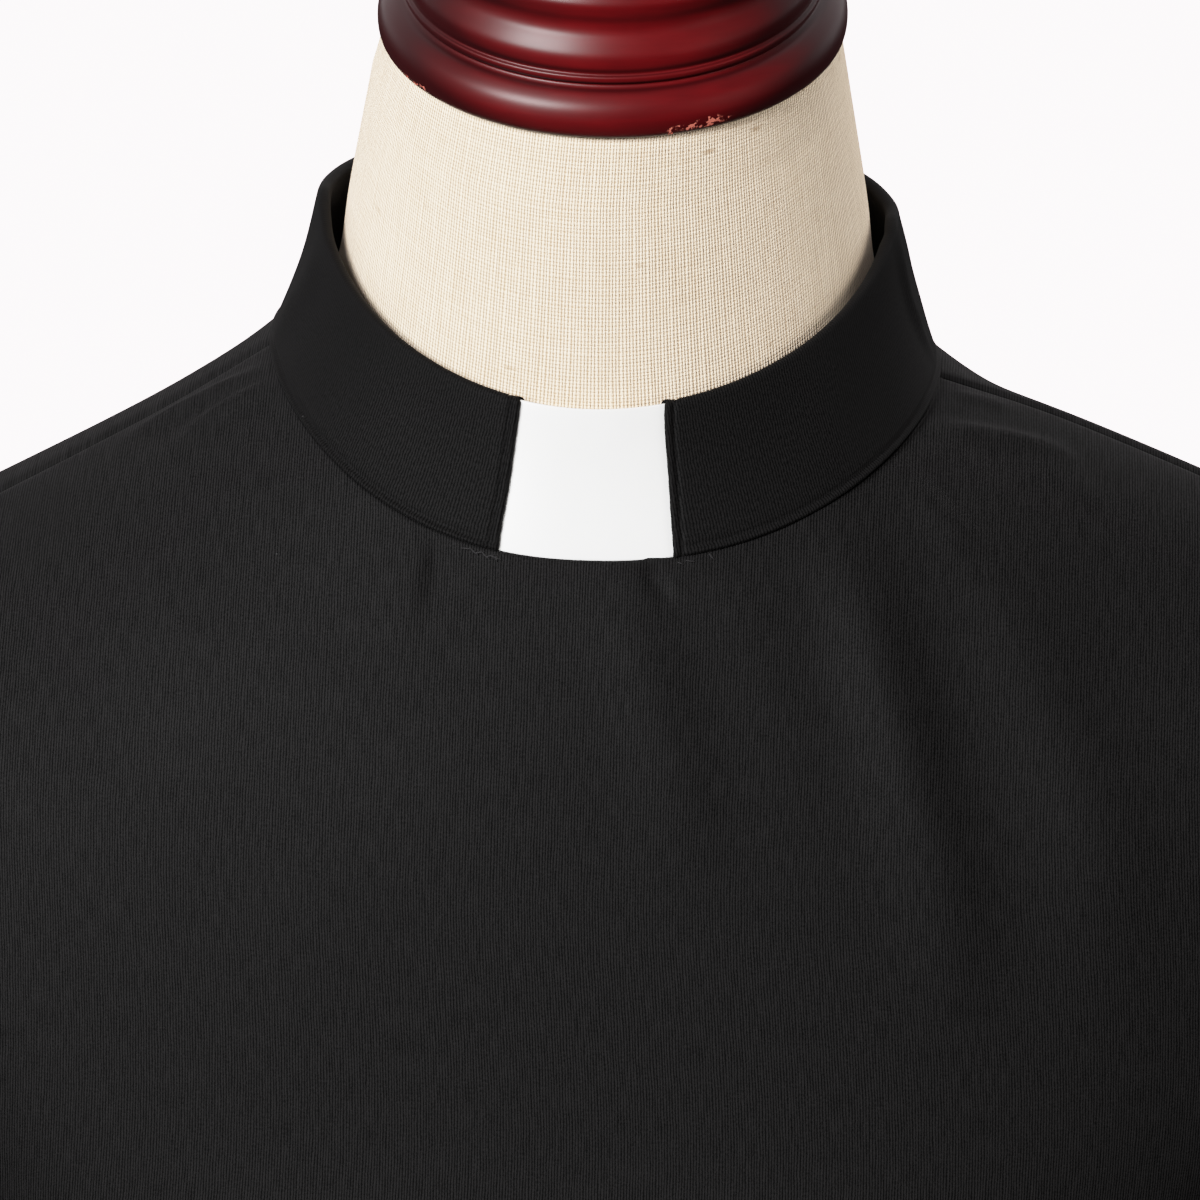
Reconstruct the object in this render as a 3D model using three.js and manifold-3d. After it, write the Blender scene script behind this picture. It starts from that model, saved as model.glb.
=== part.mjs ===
// A clergy dress with a tab collar, standing on a limbless dress form.
// Millimetres, +Z up, the front faces -Y, and +X is the wearer's left.
// The origin is the centre of the base's underside, on the floor.
import * as THREE from "three";
import Module from "manifold-3d";

const manifoldLibrary = await Module();
manifoldLibrary.setup();

// Driving sizes
const CLOTH = 1.2; // wall of the one-layer cloth
const SEAM_GAP = 0.3; // left between pieces that are sewn together
const COLLAR_WALL = 3.0; // outer layer, interlining and inner layer
const TAB_THICK = 0.6;
const TAB_REACH = 40; // degrees each side of the centre front
const TAB_LOW = 0.03; // the tab's edges as shares of the collar's height
const TAB_HIGH = 0.97;
const POCKET_WALL = 0.9; // cloth left on each face of the tab's pocket
const POCKET_REACH = 45;
const POCKET_LOW = 0.018;
const POCKET_HIGH = 0.982;
const COLLAR_GAP_BASE = 11.9; // degrees from centre front to the collar's end
const COLLAR_GAP_TOP = 14.7;
const COLLAR_WAIST = 1; // the band draws in this much at mid height
const SHOULDER_TIP = 3.1; // rows of BODY where the armhole starts and ends
const UNDERARM = 5;
const SEAM_LEAD_RIGHT = 5.5; // degrees the shoulder seam lies in front of the ridge
const SEAM_LEAD_LEFT = 0.5;
const ARMHOLE_FRONT = 29; // degrees the armhole cuts into the front and the back
const ARMHOLE_BACK = 27;
const SLEEVE_INSET = 0.996; // the sleeve's edge as a share of the armhole
const ZIP_END_ROW = 9.1; // row of BODY where the zip ends
const TAPE_HALF = 12;
const TAPE_THICK = 0.6;
const TAPE_CLEAR = 0.75; // from the cloth's inner face, which is flatter than the tape
const SLIDER_HEIGHT = 0.74; // share of the collar's height
const SLIDER_OUT = 1.35; // the slider's plate, and the pin of its pull, off the collar
const PIN_OUT = 4.2;
const PIN_RADIUS = 0.6;
const PIN_PLAY = 0.35;
const PIN_UP = 1.5; // above the slider's middle
const CAP_TILT = 14; // degrees the neck's flat top leans forward
const CAP_CENTRE = [0.75, -5, 1458.8];
const NECK_TOP_RADIUS = 47.4;
const FORM_BOTTOM_ROW = 10.6;
const POLE_RADIUS = 16;
const DEGREE = Math.PI / 180;

// Loops round the dress, each from the upright axis, from the neck seam to the hem.
// z_right is the height at -X and z_left at +X, and the back falls by back_drop more
// between its middle and the shoulder. The ease is what the form leaves free inside the
// outer face of the cloth.
const BODY_COLUMNS = [
  "half_width", "front", "back", "z_front", "z_right", "z_left", "z_back",
  "square", "dip", "back_drop", "ease_side", "ease_front", "ease_back",
];
const BODY = tableOf(BODY_COLUMNS, [
  [71.2, 72.3, 62, 1362.6, 1388.4, 1382.5, 1390, 2.26, 1.96, 1, 2.8, 3.7, 5.2],
  [98, 82, 77, 1343, 1371.5, 1374, 1374, 2.2, 1.9, 11, 3.3, 2.1, 4.2],
  [136, 93, 90, 1317, 1350.5, 1358.5, 1350, 2.2, 1.8, 14, 3.9, 2.2, 4.0],
  [178, 103, 98, 1286, 1328, 1340, 1320, 2.2, 1.7, 14, 4.4, 2.2, 4.0],
  [187, 114, 101, 1246, 1283, 1291, 1278, 2.25, 1.6, 6, 4.0, 2.4, 4.0],
  [163, 127, 100, 1203, 1212, 1212, 1210, 2.3, 1.6, 0, 4.5, 2.6, 4.2],
  [157, 135, 98, 1150, 1150, 1150, 1150, 2.3, 1.6, 0, 6, 3, 5],
  [147, 124, 93, 1072, 1072, 1072, 1072, 2.25, 1.6, 0, 14, 14, 7],
  [141, 117, 96, 998, 998, 998, 998, 2.2, 1.6, 0, 18, 24, 13],
  [161, 122, 113, 900, 900, 900, 900, 2.15, 1.6, 0, 13, 20, 15],
  [192, 128, 130, 790, 790, 790, 790, 2.1, 1.6, 0, 20, 24, 14],
  [218, 144, 148, 680, 680, 680, 680, 2.1, 1.6, 0, 60, 48, 44],
  [243, 163, 165, 560, 560, 560, 560, 2.1, 1.6, 0, 80, 60, 60],
  [262, 178, 178, 440, 440, 440, 440, 2.1, 1.6, 0, 90, 70, 70],
]);
const HEM_ROW = 13;

// Soft flares of the skirt, a row per fold: place in degrees from the centre front
// towards the wearer's left, half its breadth, its rise at the hem, where it begins.
const FLARES = [
  { at: -8, breadth: 21, rise: 13, from: 860 },
  { at: 27, breadth: 17, rise: 9, from: 800 },
  { at: 62, breadth: 20, rise: 15, from: 880 },
  { at: 101, breadth: 19, rise: 10, from: 840 },
  { at: 139, breadth: 21, rise: 14, from: 870 },
  { at: 178, breadth: 18, rise: 9, from: 800 },
  { at: -146, breadth: 20, rise: 15, from: 880 },
  { at: -108, breadth: 18, rise: 11, from: 830 },
  { at: -69, breadth: 20, rise: 14, from: 860 },
  { at: -38, breadth: 14, rise: 8, from: 780 },
];

// The collar band's lower and upper edge, on its outer face.
const COLLAR_COLUMNS = [
  "half_width", "front", "back", "z_front", "z_right", "z_left", "z_back",
  "square", "dip", "back_drop",
];
const COLLAR = tableOf(COLLAR_COLUMNS, [
  [71.2, 72.3, 62, 1363.0, 1388.9, 1383.0, 1390.5, 2.26, 1.96, 1],
  [61.2, 62.2, 53.2, 1393.4, 1420.7, 1417.8, 1421.5, 1.95, 1.1, 0],
]);

// The form's neck, from inside the neck seam up to its flat top.
const NECK = tableOf(COLLAR_COLUMNS, [
  [65.8, 66.0, 54.8, 1365, 1387.0, 1381.6, 1390, 2.2, 1.8, 1],
  [61.6, 61.6, 50.4, 1373, 1393.5, 1390, 1396, 2.1, 1.6, 0],
  [57.0, 57.6, 47.4, 1386, 1406, 1404, 1408, 2.05, 1.4, 0],
  [54.6, 56.0, 46.0, 1402, 1422, 1421, 1425, 2, 1.2, 0],
  [50.6, 53.6, 43.6, 1428, 1444, 1444, 1451, 2, 1.1, 0],
  [47.6, 51.2, 41.4, 1448, 1460.8, 1460.8, 1471.2, 2, 1, 0],
]);

// One sleeve, for the wearer's left: the outer and the inner edge of each section,
// how far its middle lies behind the axis, and half its depth from front to back.
const SLEEVE_SECTIONS = [
  { outer_x: 194, outer_z: 1330, inner_x: 167, inner_z: 1209, mid_y: 0, depth: 61 },
  { outer_x: 207, outer_z: 1315, inner_x: 169.5, inner_z: 1201, mid_y: 1, depth: 63 },
  { outer_x: 219, outer_z: 1280, inner_x: 170, inner_z: 1184, mid_y: 2, depth: 65 },
  { outer_x: 227, outer_z: 1226, inner_x: 170, inner_z: 1160, mid_y: 3, depth: 66 },
  { outer_x: 231, outer_z: 1160, inner_x: 171, inner_z: 1126, mid_y: 3, depth: 65 },
  { outer_x: 230, outer_z: 1080, inner_x: 174, inner_z: 1066, mid_y: 2, depth: 63 },
  { outer_x: 230, outer_z: 1000, inner_x: 179, inner_z: 995, mid_y: 0, depth: 60 },
  { outer_x: 234, outer_z: 920, inner_x: 188, inner_z: 918, mid_y: -3, depth: 56 },
  { outer_x: 243, outer_z: 840, inner_x: 199, inner_z: 840, mid_y: -6, depth: 52 },
  { outer_x: 252, outer_z: 768, inner_x: 210, inner_z: 768, mid_y: -9, depth: 48 },
];

// Turned profiles, from the axis at the bottom to the axis at the top: radius, height.
const CAP_PROFILE = [
  [47.2, 0], [48.5, 0.25], [49.0, 1.6], [48.9, 4.2], [47.8, 6.8], [45.6, 8.7],
  [43.9, 9.3], [43.4, 9.9], [43.9, 10.6], [43.8, 11.6], [43.1, 12.1], [43.3, 13.6],
  [42.9, 15.8], [41.6, 17.8], [40.2, 19.6], [39.6, 21.6], [39.7, 23.8], [39.5, 25.8],
  [38.4, 27.6], [37.9, 29.0], [38.6, 30.0], [38.2, 31.2], [36.0, 32.0], [33.6, 34.2],
  [29.6, 36.4], [22.5, 38.8], [14, 40.6], [9.2, 41.6], [7.4, 43.6], [8.8, 47.2],
  [11.6, 50.6], [12.2, 54.6], [10.4, 58.6], [6.2, 61.4],
];
const POLE_TOP = BODY(FORM_BOTTOM_ROW).z_front - SEAM_GAP;
const POLE_PROFILE = [
  [34, 26.3], [34, 34], [24, 40], [POLE_RADIUS, 46], [POLE_RADIUS, POLE_TOP - 30],
  [24, POLE_TOP - 20], [46, POLE_TOP - 8], [46, POLE_TOP],
];
const BASE_PROFILE = [
  [190, 0], [194, 3], [194, 10], [190, 15], [176, 18.5], [120, 22], [60, 26],
];

// A table's rows as a smooth curve: the values at row v by their column names.
function tableOf(columns, rows) {
  const last = rows.length - 1;
  return (v) => {
    const place = THREE.MathUtils.clamp(v, 0, last);
    const first = Math.min(Math.floor(place), last - 1);
    const share = place - first;
    const before = rows[Math.max(first - 1, 0)];
    const after = rows[Math.min(first + 2, last)];
    const values = {};
    columns.forEach((name, column) => {
      values[name] = throughFour(
        before[column], rows[first][column], rows[first + 1][column], after[column], share,
      );
    });
    return values;
  };
}

function throughFour(a, b, c, d, share) {
  const slopeB = (c - a) / 2;
  const slopeC = (d - b) / 2;
  const square = share * share;
  const cube = square * share;
  return (
    b * (2 * cube - 3 * square + 1) + slopeB * (cube - 2 * square + share) +
    c * (3 * square - 2 * cube) + slopeC * (cube - square)
  );
}

// A point of a loop at angle phi from the centre front towards the wearer's left.
function loopPoint(row, phi) {
  const power = 2 / row.square;
  const across = Math.sin(phi);
  const along = Math.cos(phi);
  const share = Math.abs(along) ** power;
  const x = row.half_width * Math.sign(across) * Math.abs(across) ** power;
  const y = along > 0 ? -row.front * share : row.back * share;
  const side = across < 0 ? row.z_right : row.z_left;
  const end = along > 0 ? row.z_front : row.z_back;
  const drop = along > 0 ? 0 : row.back_drop * Math.sin(Math.PI * softShare(share));
  const z = side + (end - side) * softShare(share) ** row.dip - drop;
  return new THREE.Vector3(x, y, z);
}

// Rounds off the place where a loop's front and back halves meet.
function softShare(share) {
  const round = 0.07;
  return (Math.hypot(share, round) - round) / (Math.hypot(1, round) - round);
}

// How far the skirt's flares stand out at an angle and a height.
function flareRise(phi, z) {
  const hem = BODY(HEM_ROW).z_front;
  let rise = 0;
  for (const flare of FLARES) {
    const turn = Math.atan2(
      Math.sin(phi - flare.at * DEGREE), Math.cos(phi - flare.at * DEGREE),
    );
    const off = Math.abs(turn) / (flare.breadth * DEGREE);
    const down = THREE.MathUtils.clamp((flare.from - z) / (flare.from - hem), 0, 1);
    if (off < 1) rise += flare.rise * down ** 1.4 * Math.cos((off * Math.PI) / 2) ** 2;
  }
  return rise;
}

// The dress's outer face, by angle and by row of BODY.
function bodyPoint(phi, v) {
  const point = loopPoint(BODY(v), phi);
  const rise = flareRise(phi, point.z);
  const outward = new THREE.Vector3(Math.sin(phi), -Math.cos(phi), 0);
  return point.addScaledVector(outward, rise);
}

// The collar's outer face, by angle and by share of its height.
function collarPoint(phi, height) {
  const point = loopPoint(COLLAR(height), phi);
  const drawn = COLLAR_WAIST * Math.sin(Math.PI * height) ** 2;
  return point.addScaledVector(new THREE.Vector3(Math.sin(phi), -Math.cos(phi), 0), -drawn);
}

// The unit normal of a surface of two parameters, and a copy of the surface moved in.
function normalAt(surface, a, b, stepA = 0.004, stepB = 0.01) {
  const alongA = surface(a + stepA, b).sub(surface(a - stepA, b));
  const alongB = surface(a, b + stepB).sub(surface(a, b - stepB));
  return alongA.cross(alongB).normalize();
}

function movedIn(surface, depth, sign) {
  return (a, b) => {
    const inwards = typeof depth === "function" ? depth(a, b) : depth;
    return surface(a, b).addScaledVector(normalAt(surface, a, b), -sign * inwards);
  };
}

// Closed bodies from grids of points
function geometryOf(points, faces) {
  const geometry = new THREE.BufferGeometry();
  geometry.setAttribute(
    "position", new THREE.Float32BufferAttribute(points.flatMap((p) => [p.x, p.y, p.z]), 3),
  );
  geometry.setIndex(faces.flat());
  geometry.computeVertexNormals();
  return volumeOf(points, faces) < 0 ? turnedRound(geometry) : geometry;
}

function volumeOf(points, faces) {
  let volume = 0;
  for (const [a, b, c] of faces) {
    volume += points[a].dot(new THREE.Vector3().crossVectors(points[b], points[c]));
  }
  return volume / 6;
}

function turnedRound(geometry) {
  const index = Array.from(geometry.index.array);
  for (let i = 0; i < index.length; i += 3) {
    [index[i + 1], index[i + 2]] = [index[i + 2], index[i + 1]];
  }
  geometry.setIndex(index);
  geometry.computeVertexNormals();
  return geometry;
}

// A wall between two faces: outer and inner are grids of the same size, rows of points.
// A ring grid closes on itself along each row.
function wallBetween(outer, inner, ring = false) {
  const rows = outer.length;
  const columns = outer[0].length;
  const points = [...outer.flat(), ...inner.flat()];
  const at = (row, column, face) => face * rows * columns + row * columns + (column % columns);
  const faces = [];
  const quad = (a, b, c, d) => faces.push([a, b, c], [a, c, d]);
  const spans = ring ? columns : columns - 1;
  for (let column = 0; column < spans; column++) {
    for (let row = 0; row < rows - 1; row++) {
      quad(at(row, column, 0), at(row, column + 1, 0),
        at(row + 1, column + 1, 0), at(row + 1, column, 0));
      quad(at(row, column, 1), at(row + 1, column, 1),
        at(row + 1, column + 1, 1), at(row, column + 1, 1));
    }
    quad(at(0, column, 0), at(0, column, 1), at(0, column + 1, 1), at(0, column + 1, 0));
    quad(at(rows - 1, column, 0), at(rows - 1, column + 1, 0),
      at(rows - 1, column + 1, 1), at(rows - 1, column, 1));
  }
  for (let row = 0; row < rows - 1 && !ring; row++) {
    quad(at(row, 0, 0), at(row + 1, 0, 0), at(row + 1, 0, 1), at(row, 0, 1));
    quad(at(row, columns - 1, 0), at(row, columns - 1, 1),
      at(row + 1, columns - 1, 1), at(row + 1, columns - 1, 0));
  }
  return geometryOf(points, faces);
}

// A solid through rings of points, closed by a fan at each end.
function loft(rings) {
  const count = rings[0].length;
  const points = rings.flat();
  const faces = [];
  for (let ring = 0; ring < rings.length - 1; ring++) {
    for (let i = 0; i < count; i++) {
      const a = ring * count + i;
      const b = ring * count + ((i + 1) % count);
      faces.push([a, b, b + count], [a, b + count, a + count]);
    }
  }
  for (const [ring, turn] of [[0, false], [rings.length - 1, true]]) {
    const centre = new THREE.Vector3();
    rings[ring].forEach((p) => centre.addScaledVector(p, 1 / count));
    points.push(centre);
    for (let i = 0; i < count; i++) {
      const a = ring * count + i;
      const b = ring * count + ((i + 1) % count);
      faces.push(turn ? [a, b, points.length - 1] : [b, a, points.length - 1]);
    }
  }
  return geometryOf(points, faces);
}

// A turned solid from a profile of radius and height.
function turned(profile, segments) {
  return loft(profile.map(([radius, height]) => circle(radius, height, segments)));
}

function circle(radius, height, segments) {
  return Array.from({ length: segments }, (_, i) => {
    const angle = (i / segments) * 2 * Math.PI;
    return new THREE.Vector3(radius * Math.cos(angle), radius * Math.sin(angle), height);
  });
}

function steps(from, to, count) {
  return Array.from({ length: count + 1 }, (_, i) => from + ((to - from) * i) / count);
}

// Adding and taking away solids
function solidOf(geometry) {
  const mesh = new manifoldLibrary.Mesh({
    numProp: 3,
    vertProperties: Float32Array.from(geometry.attributes.position.array),
    triVerts: Uint32Array.from(geometry.index.array),
  });
  return new manifoldLibrary.Manifold(mesh);
}

function geometryFrom(solid) {
  const mesh = solid.getMesh();
  const geometry = new THREE.BufferGeometry();
  geometry.setAttribute("position", new THREE.BufferAttribute(mesh.vertProperties, 3));
  geometry.setIndex(new THREE.BufferAttribute(mesh.triVerts, 1));
  geometry.computeVertexNormals();
  return geometry;
}

// The angle at which a loop's back half comes within a seam's half gap of the middle.
function angleAtBack(row) {
  return Math.PI - Math.asin((SEAM_GAP / 2 / row.half_width) ** (row.square / 2));
}

// The angle that lies a distance along a loop from another angle.
function angleBeside(phi, v, distance) {
  const start = bodyPoint(phi, v);
  let turn = distance / BODY(v).half_width;
  for (let round = 0; round < 12; round++) {
    turn *= Math.abs(distance) / bodyPoint(phi + turn, v).distanceTo(start);
  }
  return phi + turn;
}

// The armhole as a closed curve: its share of the way down and its half breadth.
function armholeShare(v) {
  return THREE.MathUtils.clamp((v - SHOULDER_TIP) / (UNDERARM - SHOULDER_TIP), 0, 1);
}

function seamAngle(v, side) {
  const lead = side > 0 ? SEAM_LEAD_LEFT : SEAM_LEAD_RIGHT;
  return (90 - lead * (1 - armholeShare(v))) * DEGREE;
}

// The angle where the front or the back panel ends at row v, on one side.
function panelEdge(v, side, cut, direction) {
  const share = armholeShare(v);
  const breadth = Math.sqrt(Math.max(0, 1 - (2 * share - 1) ** 2));
  const seam = seamAngle(v, side) + direction * cut * DEGREE * breadth;
  return side * angleBeside(seam, v, (direction * SEAM_GAP) / 2);
}

// Rows of the panels: closer together round the armhole, where the sleeve's columns meet
// them one to one.
const SLEEVE_COLUMNS = 20;
const armholeRows = steps(0, Math.PI, SLEEVE_COLUMNS / 2).map(
  (turn) => SHOULDER_TIP + ((UNDERARM - SHOULDER_TIP) * (1 - Math.cos(turn))) / 2,
);
const PANEL_ROWS = [
  0, 0.35, 0.8, 1.3, 1.8, 2.3, 2.75, ...armholeRows, ...steps(5.5, HEM_ROW, 15),
];

function panel(columns, startOf, endOf) {
  const inner = movedIn(bodyPoint, CLOTH, -1);
  const grid = (surface) =>
    PANEL_ROWS.map((v) => steps(startOf(v), endOf(v), columns).map((phi) => surface(phi, v)));
  return wallBetween(grid(bodyPoint), grid(inner));
}

function frontPanel() {
  return panel(
    24,
    (v) => panelEdge(v, -1, ARMHOLE_FRONT, -1),
    (v) => panelEdge(v, 1, ARMHOLE_FRONT, -1),
  );
}

function backPanel(side) {
  const centre = (v) => side * angleAtBack(BODY(v));
  return panel(12, (v) => panelEdge(v, side, ARMHOLE_BACK, 1), centre);
}

// A point of the sleeve: turn 0 is its outer edge, a quarter turn is its front.
function sleeveSpline(side, turn) {
  const share = (1 - Math.cos(turn)) / 2;
  const middle = (SHOULDER_TIP + UNDERARM) / 2;
  const v = middle + (SHOULDER_TIP + (UNDERARM - SHOULDER_TIP) * share - middle) * SLEEVE_INSET;
  const cut = Math.sin(turn) > 0 ? -ARMHOLE_FRONT : ARMHOLE_BACK;
  const seam = seamAngle(v, side) / DEGREE;
  const phi = (seam + cut * Math.abs(Math.sin(turn)) * SLEEVE_INSET) * DEGREE * side;
  const start = movedIn(bodyPoint, SEAM_GAP, 1)(phi, v);
  const tip = bodyPoint(side * seamAngle(SHOULDER_TIP, side), SHOULDER_TIP).z;
  const sections = SLEEVE_SECTIONS.map((section, index) => {
    const across = (1 + Math.cos(turn)) / 2;
    const lift = (tip - SLEEVE_SECTIONS[0].outer_z) * Math.max(0, 0.8 - index / 4);
    const x = THREE.MathUtils.lerp(section.inner_x, section.outer_x, across);
    const z = THREE.MathUtils.lerp(section.inner_z, section.outer_z + lift, across);
    return new THREE.Vector3(side * x, section.mid_y - section.depth * Math.sin(turn), z);
  });
  return [start, ...sections];
}

function sleevePoint(side) {
  return (turn, t) => {
    const points = sleeveSpline(side, turn);
    const last = points.length - 1;
    const first = Math.min(Math.max(Math.floor(t), 0), last - 1);
    const before = points[Math.max(first - 1, 0)];
    const after = points[Math.min(first + 2, last)];
    const share = t - first;
    const along = (axis) => throughFour(
      before[axis], points[first][axis], points[first + 1][axis], after[axis], share,
    );
    return new THREE.Vector3(along("x"), along("y"), along("z"));
  };
}

function sleeve(side) {
  const rows = [0, 0.4, 1, 1.5, 2, 2.5, 3, 3.5, 4, 5, 6, 7, 8, 9, 10];
  const turns = steps(0, 2 * Math.PI, SLEEVE_COLUMNS).slice(0, -1);
  const outer = sleevePoint(side);
  const inner = movedIn(outer, CLOTH, side);
  const grid = (surface) => rows.map((t) => turns.map((turn) => surface(turn, t)));
  return wallBetween(grid(outer), grid(inner), true);
}

// One half of the collar band, with a pocket for the tab in its front end.
function collarHalf(side) {
  const inner = movedIn(collarPoint, COLLAR_WALL, 1);
  const heights = [0, 0.25, 0.5, 0.75, 1];
  const grid = (surface) => heights.map((height) => {
    const end = THREE.MathUtils.lerp(COLLAR_GAP_BASE, COLLAR_GAP_TOP, height) * DEGREE;
    return steps(end, angleAtBack(COLLAR(height)), 24).map((phi) => surface(side * phi, height));
  });
  const band = solidOf(wallBetween(grid(collarPoint), grid(inner)));
  const pocket = solidOf(collarLayer(
    0, side * POCKET_REACH, 9,
    POCKET_LOW, POCKET_HIGH, POCKET_WALL, COLLAR_WALL - POCKET_WALL,
  ));
  return geometryFrom(band.subtract(pocket));
}

// A layer inside the collar's wall, between two angles, two heights and two depths.
function collarLayer(fromDegrees, toDegrees, columns, low, high, nearest, deepest) {
  const heights = steps(low, high, 4);
  const angles = steps(fromDegrees * DEGREE, toDegrees * DEGREE, columns);
  const grid = (depth) => {
    const surface = movedIn(collarPoint, depth, 1);
    return heights.map((height) => angles.map((phi) => surface(phi, height)));
  };
  return wallBetween(grid(nearest), grid(deepest));
}

function collarTab() {
  const middle = COLLAR_WALL / 2;
  return collarLayer(
    -TAB_REACH, TAB_REACH, 16, TAB_LOW, TAB_HIGH,
    middle - TAB_THICK / 2, middle + TAB_THICK / 2,
  );
}

// The zip behind the centre back: rows below zero run up inside the collar.
function backLine(phi, row) {
  return row < 0 ? collarPoint(phi, -row) : bodyPoint(phi, row);
}

function tapeDepth(row) {
  const collarSide = COLLAR_WALL + TAPE_CLEAR;
  const bodySide = CLOTH + TAPE_CLEAR;
  return THREE.MathUtils.lerp(collarSide, bodySide, THREE.MathUtils.smoothstep(row, 0.1, 1.4));
}

function zipTape() {
  const rows = [-0.96, -0.75, -0.5, -0.25, ...PANEL_ROWS.filter((v) => v < ZIP_END_ROW)];
  const grid = (extra) => rows.map((row) => {
    const loop = row < 0 ? COLLAR(-row) : BODY(row);
    const turn = Math.asin(TAPE_HALF / loop.half_width);
    return steps(Math.PI - turn, Math.PI + turn, 6).map((phi) => {
      const normal = tapeNormal(phi, row);
      return backLine(phi, row).addScaledVector(normal, -tapeDepth(row) - extra);
    });
  });
  return wallBetween(grid(0), grid(TAPE_THICK));
}

// Outward normal of the back, which turns gradually over the neck seam.
function tapeNormal(phi, row) {
  const turn = 0.01;
  const stretch = 0.12;
  const across = backLine(phi + turn, row).sub(backLine(phi - turn, row));
  const down = backLine(phi, row + stretch).sub(backLine(phi, row - stretch));
  const normal = across.cross(down).normalize();
  return normal.y < 0 ? normal.negate() : normal;
}

// Turns a small piece drawn flat (x across, y outwards, z up) onto the collar's back.
function onCollarBack(geometry) {
  const normal = normalAt(collarPoint, Math.PI, SLIDER_HEIGHT);
  if (normal.y < 0) normal.negate();
  const across = new THREE.Vector3(1, 0, 0);
  const up = new THREE.Vector3().crossVectors(across, normal);
  const place = new THREE.Matrix4().makeBasis(across, normal, up);
  place.setPosition(collarPoint(Math.PI, SLIDER_HEIGHT));
  return geometry.applyMatrix4(place);
}


function bar(radius, length, y, z, segments = 16) {
  const rod = new THREE.CylinderGeometry(radius, radius, length, segments);
  return closed(rod.rotateZ(Math.PI / 2).translate(0, y, z));
}

function block(width, depth, height, x, y, z) {
  return closed(new THREE.BoxGeometry(width, depth, height).translate(x, y, z));
}

// A three.js primitive as one closed solid.
function closed(geometry) {
  const points = [];
  const keys = new Map();
  const position = geometry.attributes.position;
  const renamed = [];
  for (let i = 0; i < position.count; i++) {
    const point = new THREE.Vector3().fromBufferAttribute(position, i);
    const key = point.toArray().map((value) => value.toFixed(4)).join();
    if (!keys.has(key)) keys.set(key, points.push(point) - 1);
    renamed.push(keys.get(key));
  }
  const index = Array.from(geometry.index.array, (i) => renamed[i]);
  const faces = [];
  for (let i = 0; i < index.length; i += 3) {
    const face = index.slice(i, i + 3);
    if (new Set(face).size === 3) faces.push(face);
  }
  return solidOf(geometryOf(points, faces));
}

function zipSlider() {
  const plate = block(6.4, 1.6, 9, 0, SLIDER_OUT, -1);
  const cheekRight = block(1.4, 4.4, 3, -2.5, 3.1, PIN_UP);
  const cheekLeft = block(1.4, 4.4, 3, 2.5, 3.1, PIN_UP);
  const pin = bar(PIN_RADIUS, 5, PIN_OUT, PIN_UP);
  return onCollarBack(geometryFrom(plate.add(cheekRight).add(cheekLeft).add(pin)));
}

function zipPull() {
  const eye = bar(1.7, 2.8, PIN_OUT, PIN_UP);
  const neck = block(2.4, 1.1, 7, 0, PIN_OUT, -2.8);
  const drop = block(4.6, 1.1, 13, 0, PIN_OUT, -12);
  const hole = bar(PIN_RADIUS + PIN_PLAY, 8, PIN_OUT, PIN_UP);
  return onCollarBack(geometryFrom(eye.add(neck).add(drop).subtract(hole)));
}

// The form under the dress: the dress's outer face moved in by its ease, and the neck.
function easeAt(phi, v) {
  const row = BODY(v);
  const share = Math.cos(phi) ** 2;
  return THREE.MathUtils.lerp(row.ease_side, Math.cos(phi) > 0 ? row.ease_front : row.ease_back,
    share);
}

function formTorso() {
  const plain = (phi, v) => loopPoint(BODY(v), phi);
  const skin = (phi, v) => {
    const normal = normalAt(plain, phi, v).negate();
    normal.z *= 1 - THREE.MathUtils.smoothstep(v, UNDERARM, UNDERARM + 1);
    return plain(phi, v).addScaledVector(normal.normalize(), -easeAt(phi, v));
  };
  const angles = steps(0, 2 * Math.PI, 48).slice(0, -1);
  const top = angles.map((phi) => onCap(new THREE.Vector3(
    NECK_TOP_RADIUS * Math.sin(phi), -NECK_TOP_RADIUS * Math.cos(phi), 0,
  )));
  const neckRows = steps(4.2, 0, 5);
  const bodyRows = [
    0.35, 0.8, 1.3, 1.8, 2.3, 2.75, ...armholeRows.filter((_, i) => i % 2 === 0),
    ...steps(5.6, FORM_BOTTOM_ROW, 9),
  ];
  return loft([
    top,
    ...neckRows.map((v) => angles.map((phi) => loopPoint(NECK(v), phi))),
    ...bodyRows.map((v) => angles.map((phi) => skin(phi, v))),
  ]);
}

// Leans a point of the neck's top, or of the cap on it, forward into its place.
function onCap(point) {
  return point.applyAxisAngle(new THREE.Vector3(1, 0, 0), CAP_TILT * DEGREE)
    .add(new THREE.Vector3(...CAP_CENTRE));
}

function formCap() {
  const raised = CAP_PROFILE.map(([radius, height]) => [radius, height + SEAM_GAP]);
  return loft(raised.map(([radius, height]) => circle(radius, height, 28).map(onCap)));
}

// The whole part
const FABRIC = { color: 0x111112, roughness: 0.9, metalness: 0 };
const LINEN = { color: 0xddd2bd, roughness: 0.95, metalness: 0 };
const LACQUER = { color: 0x4a0c0c, roughness: 0.25, metalness: 0 };
const WHITE_PLASTIC = { color: 0xf4f4f4, roughness: 0.35, metalness: 0 };
const METAL = { color: 0x1c1c1e, roughness: 0.45, metalness: 0.8 };

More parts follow.
